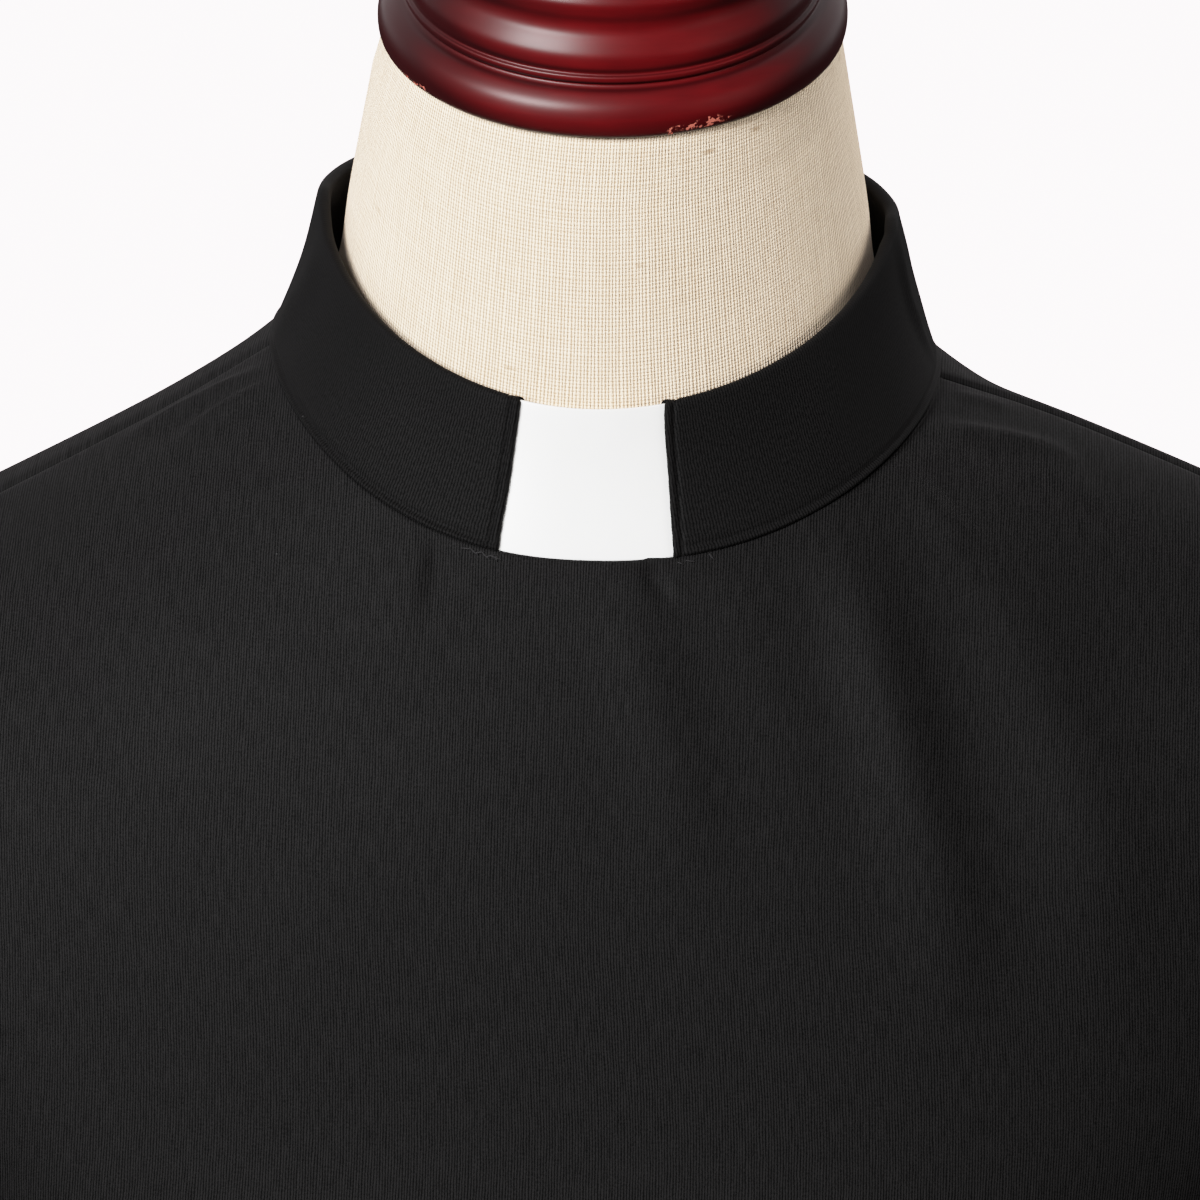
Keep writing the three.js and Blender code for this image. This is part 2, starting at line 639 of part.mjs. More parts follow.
const pieces = [
  ["dress_front", frontPanel(), FABRIC],
  ["dress_back_left", backPanel(1), FABRIC],
  ["dress_back_right", backPanel(-1), FABRIC],
  ["sleeve_left", sleeve(1), FABRIC],
  ["sleeve_right", sleeve(-1), FABRIC],
  ["collar_left", collarHalf(1), FABRIC],
  ["collar_right", collarHalf(-1), FABRIC],
  ["collar_tab", collarTab(), WHITE_PLASTIC],
  ["zip_tape", zipTape(), FABRIC],
  ["zip_slider", zipSlider(), METAL],
  ["zip_pull", zipPull(), METAL],
  ["form_torso", formTorso(), LINEN],
  ["form_cap", formCap(), LACQUER],
  ["form_pole", turned(POLE_PROFILE, 32), LACQUER],
  ["form_base", turned(BASE_PROFILE, 40), LACQUER],
];

const dress = new THREE.Group();
dress.name = "clergy_dress";
for (const [name, geometry, finish] of pieces) {
  const mesh = new THREE.Mesh(geometry, new THREE.MeshStandardMaterial(finish));
  mesh.name = name;
  dress.add(mesh);
}

export default dress;
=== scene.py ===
# %% [markdown]
# # A clergy dress with a tab collar, on a limbless dress form
# The imported CAD part gives every piece its place and size. This file puts the real cloth,
# linen, lacquer, plastic and metal around it. All sizes below are millimetres, with the
# floor at zero, the front towards -Y and the wearer's left towards +X. A mesh is turned
# into metres only when it is made. First the frame is loaded, each part's placement is
# baked into its mesh, and everything is deselected, because an operator acts on all that
# is selected.
# %% Load the imported frame
import math

import bmesh
import bpy
import numpy as np
from mathutils import Matrix, Vector


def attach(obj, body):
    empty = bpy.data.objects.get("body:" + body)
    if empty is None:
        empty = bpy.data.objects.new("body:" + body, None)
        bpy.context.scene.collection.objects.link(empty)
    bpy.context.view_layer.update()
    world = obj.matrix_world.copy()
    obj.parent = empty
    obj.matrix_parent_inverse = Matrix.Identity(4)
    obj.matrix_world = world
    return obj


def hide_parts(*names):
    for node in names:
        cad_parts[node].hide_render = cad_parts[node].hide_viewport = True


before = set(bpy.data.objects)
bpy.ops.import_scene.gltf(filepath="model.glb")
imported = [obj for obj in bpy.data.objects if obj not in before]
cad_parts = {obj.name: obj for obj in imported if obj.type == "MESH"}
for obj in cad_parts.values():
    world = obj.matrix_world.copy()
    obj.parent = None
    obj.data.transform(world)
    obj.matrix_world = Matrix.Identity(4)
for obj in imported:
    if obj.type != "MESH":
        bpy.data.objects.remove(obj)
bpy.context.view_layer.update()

bpy.ops.object.select_all(action="DESELECT")
MM = 0.001
DRESS_BODY = "dress_and_form"
PULL_BODY = "pull"

# %% [markdown]
# A dress is measured as loops round the body: how wide, how deep in front and behind, and
# how high. A pattern cutter works from the same few numbers. A smooth curve through the
# rows of such a table gives a loop at any height, so that the cloth can be as fine as the
# close view needs while it keeps the form of the CAD part.
# %% Loops of the body, the collar and the neck
# half width, front, back, height in front, at -X, at +X and behind, squareness, dip, drop
# of the back, and what the form leaves free at the side, in front and behind
BODY_LOOPS = [
    [71.2, 72.3, 62, 1362.6, 1388.4, 1382.5, 1390, 2.26, 1.96, 1, 2.8, 3.7, 5.2],
    [98, 82, 77, 1343, 1371.5, 1374, 1374, 2.2, 1.9, 11, 3.3, 2.1, 4.2],
    [136, 93, 90, 1317, 1350.5, 1358.5, 1350, 2.2, 1.8, 14, 3.9, 2.2, 4.0],
    [178, 103, 98, 1286, 1328, 1340, 1320, 2.2, 1.7, 14, 4.4, 2.2, 4.0],
    [187, 114, 101, 1246, 1283, 1291, 1278, 2.25, 1.6, 6, 4.0, 2.4, 4.0],
    [163, 127, 100, 1203, 1212, 1212, 1210, 2.3, 1.6, 0, 4.5, 2.6, 4.2],
    [157, 135, 98, 1150, 1150, 1150, 1150, 2.3, 1.6, 0, 6, 3, 5],
    [147, 124, 93, 1072, 1072, 1072, 1072, 2.25, 1.6, 0, 14, 14, 7],
    [141, 117, 96, 998, 998, 998, 998, 2.2, 1.6, 0, 18, 24, 13],
    [161, 122, 113, 900, 900, 900, 900, 2.15, 1.6, 0, 13, 20, 15],
    [192, 128, 130, 790, 790, 790, 790, 2.1, 1.6, 0, 20, 24, 14],
    [218, 144, 148, 680, 680, 680, 680, 2.1, 1.6, 0, 60, 48, 44],
    [243, 163, 165, 560, 560, 560, 560, 2.1, 1.6, 0, 80, 60, 60],
    [262, 178, 178, 440, 440, 440, 440, 2.1, 1.6, 0, 90, 70, 70],
]
COLLAR_LOOPS = [
    [71.2, 72.3, 62, 1363.0, 1388.9, 1383.0, 1390.5, 2.26, 1.96, 1],
    [61.2, 62.2, 53.2, 1393.4, 1420.7, 1417.8, 1421.5, 1.95, 1.1, 0],
]
NECK_LOOPS = [
    [65.8, 66.0, 54.8, 1365, 1387.0, 1381.6, 1390, 2.2, 1.8, 1],
    [61.6, 61.6, 50.4, 1373, 1393.5, 1390, 1396, 2.1, 1.6, 0],
    [57.0, 57.6, 47.4, 1386, 1406, 1404, 1408, 2.05, 1.4, 0],
    [54.6, 56.0, 46.0, 1402, 1422, 1421, 1425, 2, 1.2, 0],
    [50.6, 53.6, 43.6, 1428, 1444, 1444, 1451, 2, 1.1, 0],
    [47.6, 51.2, 41.4, 1448, 1460.8, 1460.8, 1471.2, 2, 1, 0],
]
HEM_ROW = len(BODY_LOOPS) - 1
HEM_HEIGHT = BODY_LOOPS[-1][3]
HEM_DROP = BODY_LOOPS[-2][3] - HEM_HEIGHT


def through_four(a, b, c, d, share):
    """A smooth curve from b to c that also heeds the values before and after them."""
    square = share * share
    cube = square * share
    return (
        b * (2 * cube - 3 * square + 1)
        + (c - a) / 2 * (cube - 2 * square + share)
        + c * (3 * square - 2 * cube)
        + (d - b) / 2 * (cube - square)
    )


def rows_at(table, place):
    """The rows of a table as a smooth curve, read at any place between them."""
    table = np.asarray(table, float)
    last = len(table) - 1
    place = np.clip(np.asarray(place, float), 0, last)
    first = np.minimum(np.floor(place), last - 1).astype(int)
    share = (place - first)[..., None]
    before = table[np.maximum(first - 1, 0)]
    after = table[np.minimum(first + 2, last)]
    return through_four(before, table[first], table[first + 1], after, share)


def soft_share(share):
    """Rounds off the place where a loop's front and back halves meet."""
    blend = 0.07
    return (np.hypot(share, blend) - blend) / (math.hypot(1, blend) - blend)


def loop_point(table, phi, place):
    """A point of a loop at the angle phi from the centre front towards the wearer's left."""
    row = np.moveaxis(rows_at(table, place)[..., :10], -1, 0)
    half_width, front, back, z_front, z_right, z_left, z_back, square, dip, drop = row
    across, along = np.sin(phi), np.cos(phi)
    power = 2 / square
    share = np.abs(along) ** power
    x = half_width * np.sign(across) * np.abs(across) ** power
    y = np.where(along > 0, -front * share, back * share)
    side = np.where(across < 0, z_right, z_left)
    end = np.where(along > 0, z_front, z_back)
    soft = soft_share(share)
    fall = np.where(along > 0, 0, drop * np.sin(np.pi * soft))
    return np.stack([x, y, side + (end - side) * soft**dip - fall], -1)


def outwards(phi):
    """The level direction that points away from the body's axis at an angle."""
    return np.stack([np.sin(phi), -np.cos(phi), np.zeros_like(phi)], -1)


# %% [markdown]
# The skirt falls in soft flares, a row each: where it stands in degrees from the centre
# front, half its breadth, how far it stands out at the hem, and the height where it
# begins. The collar band draws in a little at mid height.
# %% The skirt's flares and the two main surfaces
FLARES = [
    (-8, 21, 13, 860),
    (27, 17, 9, 800),
    (62, 20, 15, 880),
    (101, 19, 10, 840),
    (139, 21, 14, 870),
    (178, 18, 9, 800),
    (-146, 20, 15, 880),
    (-108, 18, 11, 830),
    (-69, 20, 14, 860),
    (-38, 14, 8, 780),
]
COLLAR_WAIST = 1.0


def flare_rise(phi, z):
    rise = np.zeros_like(z)
    for at, breadth, out, begins in FLARES:
        turn = np.angle(np.exp(1j * (phi - math.radians(at))))
        off = np.clip(np.abs(turn) / math.radians(breadth), 0, 1)
        down = np.clip((begins - z) / (begins - HEM_HEIGHT), 0, 1)
        rise += out * down**1.4 * np.cos(off * np.pi / 2) ** 2
    return rise


def plain_point(phi, row):
    """The body's loops without the flares."""
    return loop_point(BODY_LOOPS, phi, row)


def body_point(phi, row):
    """The outer face of the dress at an angle and a row of BODY_LOOPS."""
    point = plain_point(phi, row)
    return point + outwards(phi) * flare_rise(phi, point[..., 2])[..., None]


def collar_point(phi, height):
    """The collar's outer face at an angle and a share of its height."""
    drawn = COLLAR_WAIST * np.sin(np.pi * height) ** 2
    return loop_point(COLLAR_LOOPS, phi, height) - outwards(phi) * drawn[..., None]


def outward_normal(surface, phi, row):
    """The unit normal of a surface, from points a little to either side of a place."""
    beside = surface(phi + 0.004, row) - surface(phi - 0.004, row)
    below = surface(phi, row + 0.01) - surface(phi, row - 0.01)
    normal = np.cross(below, beside)
    return normal / np.linalg.norm(normal, axis=-1, keepdims=True)


def smooth_step(value, low, high):
    share = np.clip((value - low) / (high - low), 0, 1)
    return share * share * (3 - 2 * share)


print("waist", body_point(np.array([0.0, np.pi / 2]), np.array([8.0, 8.0])).round(1).tolist())

# %% [markdown]
# Cloth is one thin wall whose edges are turned under, so they look round. The wall is made
# from a grid of points of its outer face: both faces are offset from it, and towards each
# edge they close in on each other along a quarter circle. That reads as a folded edge, and
# it costs far less than a simulation that would lose the measured form.
# %% Turn a grid of points into a piece of cloth
def grid_normals(points, ring=False):
    """Unit normals of a grid of points, away from the middle of its rows."""
    if ring:
        across = np.roll(points, -1, 1) - np.roll(points, 1, 1)
    else:
        across = np.gradient(points, axis=1)
    normal = np.cross(across, np.gradient(points, axis=0))
    normal /= np.linalg.norm(normal, axis=-1, keepdims=True)
    from_middle = points - points.mean(axis=1, keepdims=True)
    return normal if (normal * from_middle).sum(-1).mean() > 0 else -normal


def lengths_along(points, axis):
    """How far each point of a grid lies from the first one, along its rows or columns."""
    steps = np.linalg.norm(np.diff(points, axis=axis), axis=-1)
    start = np.zeros_like(np.take(points[..., 0], [0], axis=axis))
    return np.concatenate([start, np.cumsum(steps, axis=axis)], axis=axis)


def edge_distances(points, axis):
    along = lengths_along(points, axis)
    whole = np.take(along, [-1], axis=axis)
    return along, whole - along


def quads_of(rows, columns, ring):
    """Corners of each square of a grid, as vertex numbers and as places in its UV grid."""
    spans = columns if ring else columns - 1
    row, column = np.meshgrid(np.arange(rows - 1), np.arange(spans), indexing="ij")
    corners = [(0, 0), (1, 0), (1, 1), (0, 1)]
    vertices = [(row + down) * columns + (column + on) % columns for down, on in corners]
    wide = columns + int(ring)
    places = [(row + down) * wide + column + on for down, on in corners]
    return np.stack(vertices, -1).reshape(-1, 4), np.stack(places, -1).reshape(-1, 4)


def new_piece(name, points, faces, corner_uv):
    """A mesh object from points in millimetres, its doubles merged and its faces outward."""
    mesh = bpy.data.meshes.new(name)
    mesh.from_pydata((points * MM).tolist(), [], faces.tolist())
    layer = mesh.uv_layers.new(name="cloth")
    layer.data.foreach_set("uv", corner_uv.reshape(-1).astype(np.float32))
    shape = bmesh.new()
    shape.from_mesh(mesh)
    bmesh.ops.remove_doubles(shape, verts=shape.verts, dist=0.002 * MM)
    if shape.calc_volume(signed=True) < 0:
        bmesh.ops.reverse_faces(shape, faces=shape.faces)
    for face in shape.faces:
        face.smooth = True
    shape.to_mesh(mesh)
    shape.free()
    piece = bpy.data.objects.new(name, mesh)
    bpy.context.scene.collection.objects.link(piece)
    print(name, len(mesh.polygons), "faces")
    return piece


def wall_piece(name, points, uv, thickness, ring=False, edge_radius=None):
    """A closed wall of a thickness inside a grid of points, with rounded edges."""
    radius = edge_radius or thickness / 2
    normal = grid_normals(points, ring)
    rounding = np.zeros(points.shape[:2])
    for axis in [0] if ring else [0, 1]:
        for distance in edge_distances(points, axis):
            rounding = np.hypot(rounding, np.clip(1 - distance / radius, 0, 1))
    close = thickness / 2 * (1 - np.sqrt(1 - np.clip(rounding, 0, 1) ** 2))
    outer = points - normal * close[..., None]
    inner = points - normal * (thickness - close)[..., None]
    rows, columns = points.shape[:2]
    vertices, places = quads_of(rows, columns, ring)
    faces = np.concatenate([vertices, vertices[:, ::-1] + rows * columns])
    corner_uv = np.concatenate([uv.reshape(-1, 2)[places], uv.reshape(-1, 2)[places[:, ::-1]]])
    both = np.concatenate([outer.reshape(-1, 3), inner.reshape(-1, 3)])
    return new_piece(name, both, faces, corner_uv)


# %% [markdown]
# A fold is a soft ridge or trough along a path on the cloth. Each one is given by
# the places its path runs through, how broad it is to either side, and how far it stands
# out, or in if below zero. Its ends fade, and beside it the cloth dips a little, as cloth
# does that has only so much length to give.
# %% Folds laid one by one
FOLD_BEGINS = (-0.12, 0.3)  # shares of the path over which a fold rises
FOLD_ENDS = (0.55, 1.06)  # and over which it dies away
FOLD_DIP = 0.2  # depth of the dips beside it, as a share of its height
FOLD_DIP_BREADTH = 2.2  # their breadth, times the fold's


def path_through(surface, places):
    """A smooth run of points on a surface through a few places of it."""
    spans = len(places) - 1
    run = rows_at(places, np.linspace(0, spans, 10 * spans + 1))
    return surface(np.radians(run[:, 0]), run[:, 1])


def nearest_on(path, points):
    """Distance from each point to a path, and the share of the path where it is nearest."""
    best = np.full(points.shape[:-1], 1e9)
    where = np.zeros(points.shape[:-1])
    lengths = np.linalg.norm(np.diff(path, axis=0), axis=-1)
    begins = np.concatenate([[0], np.cumsum(lengths)])
    for start, end, length, begin in zip(path[:-1], path[1:], lengths, begins):
        share = np.clip(((points - start) @ (end - start)) / max(length, 1e-6) ** 2, 0, 1)
        distance = np.linalg.norm(points - start - share[..., None] * (end - start), axis=-1)
        nearer = distance < best
        best = np.where(nearer, distance, best)
        where = np.where(nearer, (begin + share * length) / begins[-1], where)
    return best, where


def folded(points, surface, folds, ring=False):
    """The same grid with its folds in it."""
    rise = np.zeros(points.shape[:-1])
    for places, breadth, out in folds:
        distance, share = nearest_on(path_through(surface, places), points)
        fade = smooth_step(share, *FOLD_BEGINS) * (1 - smooth_step(share, *FOLD_ENDS))
        ridge = (1 + FOLD_DIP) * np.exp(-((distance / breadth) ** 2))
        dips = FOLD_DIP * np.exp(-((distance / (FOLD_DIP_BREADTH * breadth)) ** 2))
        rise += out * fade * (ridge - dips)
    return points + grid_normals(points, ring) * rise[..., None]


def sunk(points, depth, distance, breadth, ring=False):
    """The same grid, drawn in along a seam."""
    into = depth * np.exp(-((distance / breadth) ** 2))
    return points - grid_normals(points, ring) * into[..., None]


# degrees from the centre front and row of BODY_LOOPS; breadth and height in millimetres
FRONT_FOLDS = [
    ([(38, 0.2), (35.5, 0.74), (30, 1.53), (25, 2.48), (22.5, 3.5)], 8.5, 4.0),
    ([(56, 0.5), (50, 1.3), (42, 2.1), (36, 2.9), (33, 3.7)], 11, 2.3),
    ([(3.0, 0.3), (5.5, 0.8), (7, 1.4), (7.6, 1.95), (7.8, 2.6)], 8, 1.7),
    ([(17, 0.15), (20, 0.6), (20, 1.3), (19, 2.2)], 10, 0.6),
    ([(7.8, 0.02), (9.0, 0.22), (10.6, 0.5)], 1.9, -1.2),
    ([(-23.2, 0.04), (-20.6, 0.35), (-18.2, 0.8)], 2.3, -1.1),
    ([(-27, 0.1), (-23.5, 0.5), (-20.5, 1.0)], 4, 0.6),
    ([(55.5, 0.3), (53.5, 0.65), (50.5, 1.05)], 4, 1.2),
    ([(61.5, 0.3), (58.5, 0.65), (55, 1.02)], 2.2, -0.8),
    ([(71.5, 0.22), (76, 0.7), (79, 1.15)], 3.2, 1.2),
    ([(79, 1.0), (74, 1.14), (68.5, 1.3)], 3, 0.9),
    ([(84, 0.2), (85.5, 0.7)], 3, 0.6),
    ([(-70, 0.1), (-71.8, 0.45), (-72.2, 0.9)], 3.2, 1.9),
    ([(-75.5, 0.12), (-78.7, 0.64), (-80.5, 1.2)], 3, 1.6),
    ([(-60, 2.4), (-57, 3.3), (-50, 4.3), (-45, 5.2)], 13, 1.8),
    ([(-44, 3.2), (-36, 4.4), (-31, 5.6)], 15, 1.2),
    ([(58, 2.9), (52, 3.9), (44, 4.9)], 12, 1.7),
    ([(66, 4.9), (58, 5.4), (45, 5.9)], 11, 2.2),
    ([(-70, 4.9), (-60, 5.5), (-48, 6.1)], 10, 2.0),
    ([(-74, 6.1), (-52, 6.7), (-30, 7.3)], 9, 1.6),
    ([(76, 6.4), (57, 6.9), (36, 7.6)], 10, 1.8),
    ([(-80, 7.6), (-58, 7.9), (-37, 7.7)], 8, 1.7),
    ([(82, 8.1), (61, 8.2), (44, 8.0)], 7, 1.5),
    ([(12, 7.5), (16, 8.3), (22, 9.2)], 11, 1.4),
    ([(-20, 7.9), (-15, 8.7), (-12, 9.9)], 12, 1.3),
    ([(-52, 8.6), (-57, 9.5), (-60, 10.6)], 13, 2.1),
    ([(44, 8.8), (49, 9.8), (52, 10.9)], 14, 2.0),
]
BACK_FOLDS = [
    ([(128, 0.6), (134, 1.5), (139, 2.5)], 9, 1.4),
    ([(-124, 0.9), (-131, 1.9), (-134, 3.0)], 11, 1.2),
    ([(112, 2.2), (118, 3.3), (127, 4.4)], 12, 1.8),
    ([(-110, 2.5), (-119, 3.7), (-125, 5.1)], 13, 1.6),
    ([(104, 4.9), (118, 5.5), (134, 6.0)], 10, 2.0),
    ([(-103, 5.0), (-116, 5.7), (-137, 6.4)], 11, 1.8),
    ([(100, 6.5), (124, 7.1), (152, 7.5)], 9, 1.9),
    ([(-101, 6.9), (-128, 7.4), (-158, 7.6)], 9, 1.7),
    ([(98, 7.7), (120, 8.0), (147, 7.9)], 8, 1.5),
    ([(-99, 8.0), (-122, 8.2), (-140, 8.1)], 7, 1.6),
    ([(160, 6.2), (163, 7.2), (159, 8.2)], 10, 1.2),
    ([(-165, 6.6), (-161, 7.6), (-166, 8.7)], 11, 1.1),
    ([(129, 8.6), (134, 9.6), (141, 10.8)], 14, 2.0),
    ([(-132, 8.8), (-139, 9.9), (-146, 11.0)], 13, 2.2),
]

# %% [markdown]
# The dress has one front and two backs. The armhole is a curve that cuts into both, and
# the shoulder seam lies a little in front of the ridge of the shoulder. Columns and rows
# lie closer together near the edges, where the cloth turns under, and on the upper chest,
# which is seen from near.
# %% Where each panel ends
SHOULDER_TIP = 3.1
UNDERARM = 5
SEAM_LEAD_RIGHT = 5.5
SEAM_LEAD_LEFT = 0.5
ARMHOLE_FRONT = 29
ARMHOLE_BACK = 27
CLOTH = 1.2
SEAM_DEPTH = 0.7
SEAM_BREADTH = 1.5
HEM_TURNING = 30
HEM_STEP = 0.35
NEAR_EDGE = np.array([0, 0.15, 0.35, 0.6, 1.0, 1.6, 2.4])
ACROSS_STEP = np.array([-1.5, -0.5, 0.5, 1.5])


def armhole_share(row):
    return np.clip((row - SHOULDER_TIP) / (UNDERARM - SHOULDER_TIP), 0, 1)


def seam_angle(row, side):
    lead = SEAM_LEAD_LEFT if side > 0 else SEAM_LEAD_RIGHT
    return np.radians(90 - lead * (1 - armhole_share(row)))


def panel_edge(row, side, cut):
    """The angle of a panel's edge: the seam, moved by the armhole's cut."""
    breadth = np.sqrt(np.clip(1 - (2 * armhole_share(row) - 1) ** 2, 0, 1))
    return side * (seam_angle(row, side) + np.radians(cut) * breadth)


def close_to_edges(count, whole):
    """Shares from 0 to 1, closer together near both ends of a piece so many mm wide."""
    near = NEAR_EDGE / whole
    middle = np.linspace(0, 1, count)
    middle = middle[(middle > near[-1]) & (middle < 1 - near[-1])]
    return np.unique(np.concatenate([near, 1 - near, middle]))


def armhole_rows(count):
    turn = np.linspace(0, np.pi, count)
    return SHOULDER_TIP + (UNDERARM - SHOULDER_TIP) * (1 - np.cos(turn)) / 2


def panel_rows(fine, coarse):
    """Rows of a panel: so many per row of the table down to the underarm, then fewer."""
    neck = np.array([0, 0.005, 0.012, 0.022, 0.036, 0.055, 0.08])
    upper = np.linspace(0, SHOULDER_TIP, int(SHOULDER_TIP * fine))
    lower = np.linspace(UNDERARM, HEM_ROW, int((HEM_ROW - UNDERARM) * coarse))
    hem = HEM_ROW - np.array([0.002, 0.006, 0.012, 0.03])
    turning = HEM_ROW - (HEM_TURNING + ACROSS_STEP) / HEM_DROP
    rows = [neck, upper[upper > 0.09], armhole_rows(int(2 * fine)), lower, hem, turning]
    return np.unique(np.concatenate(rows).round(5))


NECK_TURN_UP = 0.05  # share of the collar's height
NECK_TURN_IN = 2.3
NECK_TURN_STEPS = 6


def neck_turned(phi, points):
    """Adds the rows of cloth that turn up and inwards behind the collar's lower edge."""
    up = collar_point(phi[:1], np.full_like(phi[:1], NECK_TURN_UP)) - points[:1]
    inwards = grid_normals(points)[:1] * -NECK_TURN_IN
    turn = np.linspace(1, 0, NECK_TURN_STEPS, endpoint=False)[:, None, None] * np.pi / 2
    return np.concatenate([points[:1] + up * np.sin(turn) + inwards * (1 - np.cos(turn)), points])


CHEST_ROWS = (2.5, 5.5)  # between them the threads change from straight to level
CHEST_GIRTH = 1.03  # length along the chest for each millimetre of width
CHEST_FALL = 0.94  # length down the chest for each millimetre of height
CHEST_LEAN = 0.34  # and for each millimetre towards the back


def body_uv(points, row, middle_column):
    """Cloth coordinates in metres: straight threads on the chest, level ones below."""
    along = lengths_along(points, 1)
    level = along - along[:, middle_column][:, None]
    straight = points[..., 0] * CHEST_GIRTH
    blend = smooth_step(row, *CHEST_ROWS)
    across = straight + (level - straight) * blend
    middle = points[:, middle_column][:, None]
    _, back, up = np.moveaxis(points - middle, -1, 0)
    lean = CHEST_LEAN * np.sign(middle[..., 1].mean()) * (1 - blend)
    down = lengths_along(middle, 0) - CHEST_FALL * up + lean * back
    return np.stack([across, down], -1) * MM


def hem_turned(points, row):
    """The hem's second layer stands out a little below its blind stitches."""
    step = HEM_ROW - (HEM_TURNING + ACROSS_STEP) / HEM_DROP
    below = smooth_step(row, step[-1], step[0])
    return points + grid_normals(points) * (HEM_STEP * below)[..., None]


def panel_piece(name, rows, columns, edges, folds, middle_column):
    """A panel of the dress between two edges, with folds, sunk seams, hem and neck turning."""
    start, end = [edge[:, None] for edge in edges]
    phi = start + (end - start) * columns
    row = np.broadcast_to(rows[:, None], phi.shape)
    points = folded(body_point(phi, row), body_point, folds)
    for edge in (0, 1):
        points = sunk(points, SEAM_DEPTH, edge_distances(points, 1)[edge], SEAM_BREADTH)
    points = neck_turned(phi, hem_turned(points, row))
    row = np.concatenate([row[:1]] * NECK_TURN_STEPS + [row])
    return wall_piece(name, points, body_uv(points, row, middle_column), CLOTH)


# %% [markdown]
# The front is cut on the fold, from the neck seam to the hem. Its folds are those of the
# photograph: two broad soft ridges that fall from the wearer's left shoulder with a trough
# between them, short creases below the collar's ends, and crests over the shoulders.
# %% Front of the dress
rows = panel_rows(22, 10)
front_columns = close_to_edges(205, 420)
front_middle = int(np.argmin(abs(front_columns - 0.5)))
front_edges = [panel_edge(rows, side, -ARMHOLE_FRONT) for side in (-1, 1)]
front_cloth = panel_piece(
    "front_cloth", rows, front_columns, front_edges, FRONT_FOLDS, front_middle
)

# %% [markdown]
# The two backs meet over the zip at the centre back. A concealed zip leaves only a fine
# line there, where both edges roll inwards.
# %% Backs of the dress
back_rows = panel_rows(18, 9)
back_columns = close_to_edges(96, 230)
back_cloths = []
for name, side in [("back_cloth_left", 1), ("back_cloth_right", -1)]:
    edges = [panel_edge(back_rows, side, ARMHOLE_BACK), np.full_like(back_rows, side * np.pi)]
    own = [fold for fold in BACK_FOLDS if fold[0][0][0] * side > 0]
    back_cloths.append(panel_piece(name, back_rows, back_columns, edges, own, -1))

# %% [markdown]
# A long plain sleeve is a tube that starts under the edge of the armhole and hangs down
# beside the body, a little bent forward. Each section is given by its outer and inner
# edge, its middle and half its depth. Drag lines run from the armhole, and the elbow has
# a few short creases, not the same on both sides. Its only seam runs down its inner side.
# %% Sleeves
# outer x, outer z, inner x, inner z, middle y, half depth
SLEEVE_SECTIONS = [
    (194, 1330, 167, 1209, 0, 61),
    (207, 1315, 169.5, 1201, 1, 63),
    (219, 1280, 170, 1184, 2, 65),
    (227, 1226, 170, 1160, 3, 66),
    (231, 1160, 171, 1126, 3, 65),
    (230, 1080, 174, 1066, 2, 63),
    (230, 1000, 179, 995, 0, 60),
    (234, 920, 188, 918, -3, 56),
    (243, 840, 199, 840, -6, 52),
    (252, 768, 210, 768, -9, 48),
]
SLEEVE_REACH = 1.012  # the sleeve's edge as a share of the armhole
SLEEVE_UNDER = 0.9  # how deep it starts under the armhole's edge
SLEEVE_SEAM_DEPTH = 0.45
SLEEVE_SEAM_BREADTH = 1.8
CUFF_TURNING = 20
CUFF_STEP = (0.31, 0.25)  # rows above the end between which the turning stands out
CUFF_DROP = SLEEVE_SECTIONS[-2][1] - SLEEVE_SECTIONS[-1][1]


def sleeve_run(side, turn):
    """The points that the sleeve's surface passes through at a turn: 0 is its outer edge."""
    share = (1 - np.cos(turn)) / 2
    middle = (SHOULDER_TIP + UNDERARM) / 2
    row = middle + (SHOULDER_TIP + (UNDERARM - SHOULDER_TIP) * share - middle) * SLEEVE_REACH
    cut = np.where(np.sin(turn) > 0, -ARMHOLE_FRONT, ARMHOLE_BACK)
    seam = seam_angle(row, side) + np.radians(cut * np.abs(np.sin(turn)) * SLEEVE_REACH)
    phi = side * seam
    run = [body_point(phi, row) - outward_normal(body_point, phi, row) * SLEEVE_UNDER]
    tip = body_point(seam_angle(np.array(SHOULDER_TIP), side) * side, np.array(SHOULDER_TIP))[2]
    across = (1 + np.cos(turn)) / 2
    for index, (outer_x, outer_z, inner_x, inner_z, mid_y, depth) in enumerate(SLEEVE_SECTIONS):
        lift = (tip - SLEEVE_SECTIONS[0][1]) * max(0, 0.8 - index / 4)
        x = inner_x + (outer_x - inner_x) * across
        z = inner_z + (outer_z + lift - inner_z) * across
        run.append(np.stack([side * x, mid_y - depth * np.sin(turn), z], -1))
    return np.stack(run)


def sleeve_point(side):
    def surface(turn, place):
        run = sleeve_run(side, turn)
        last = len(run) - 1
        first = np.clip(np.floor(place), 0, last - 1).astype(int)
        share = (place - first)[..., None]
        around = [np.maximum(first - 1, 0), first, first + 1, np.minimum(first + 2, last)]
        four = [np.take_along_axis(run, at[None, ..., None], 0)[0] for at in around]
        return through_four(*four, share)

    return surface


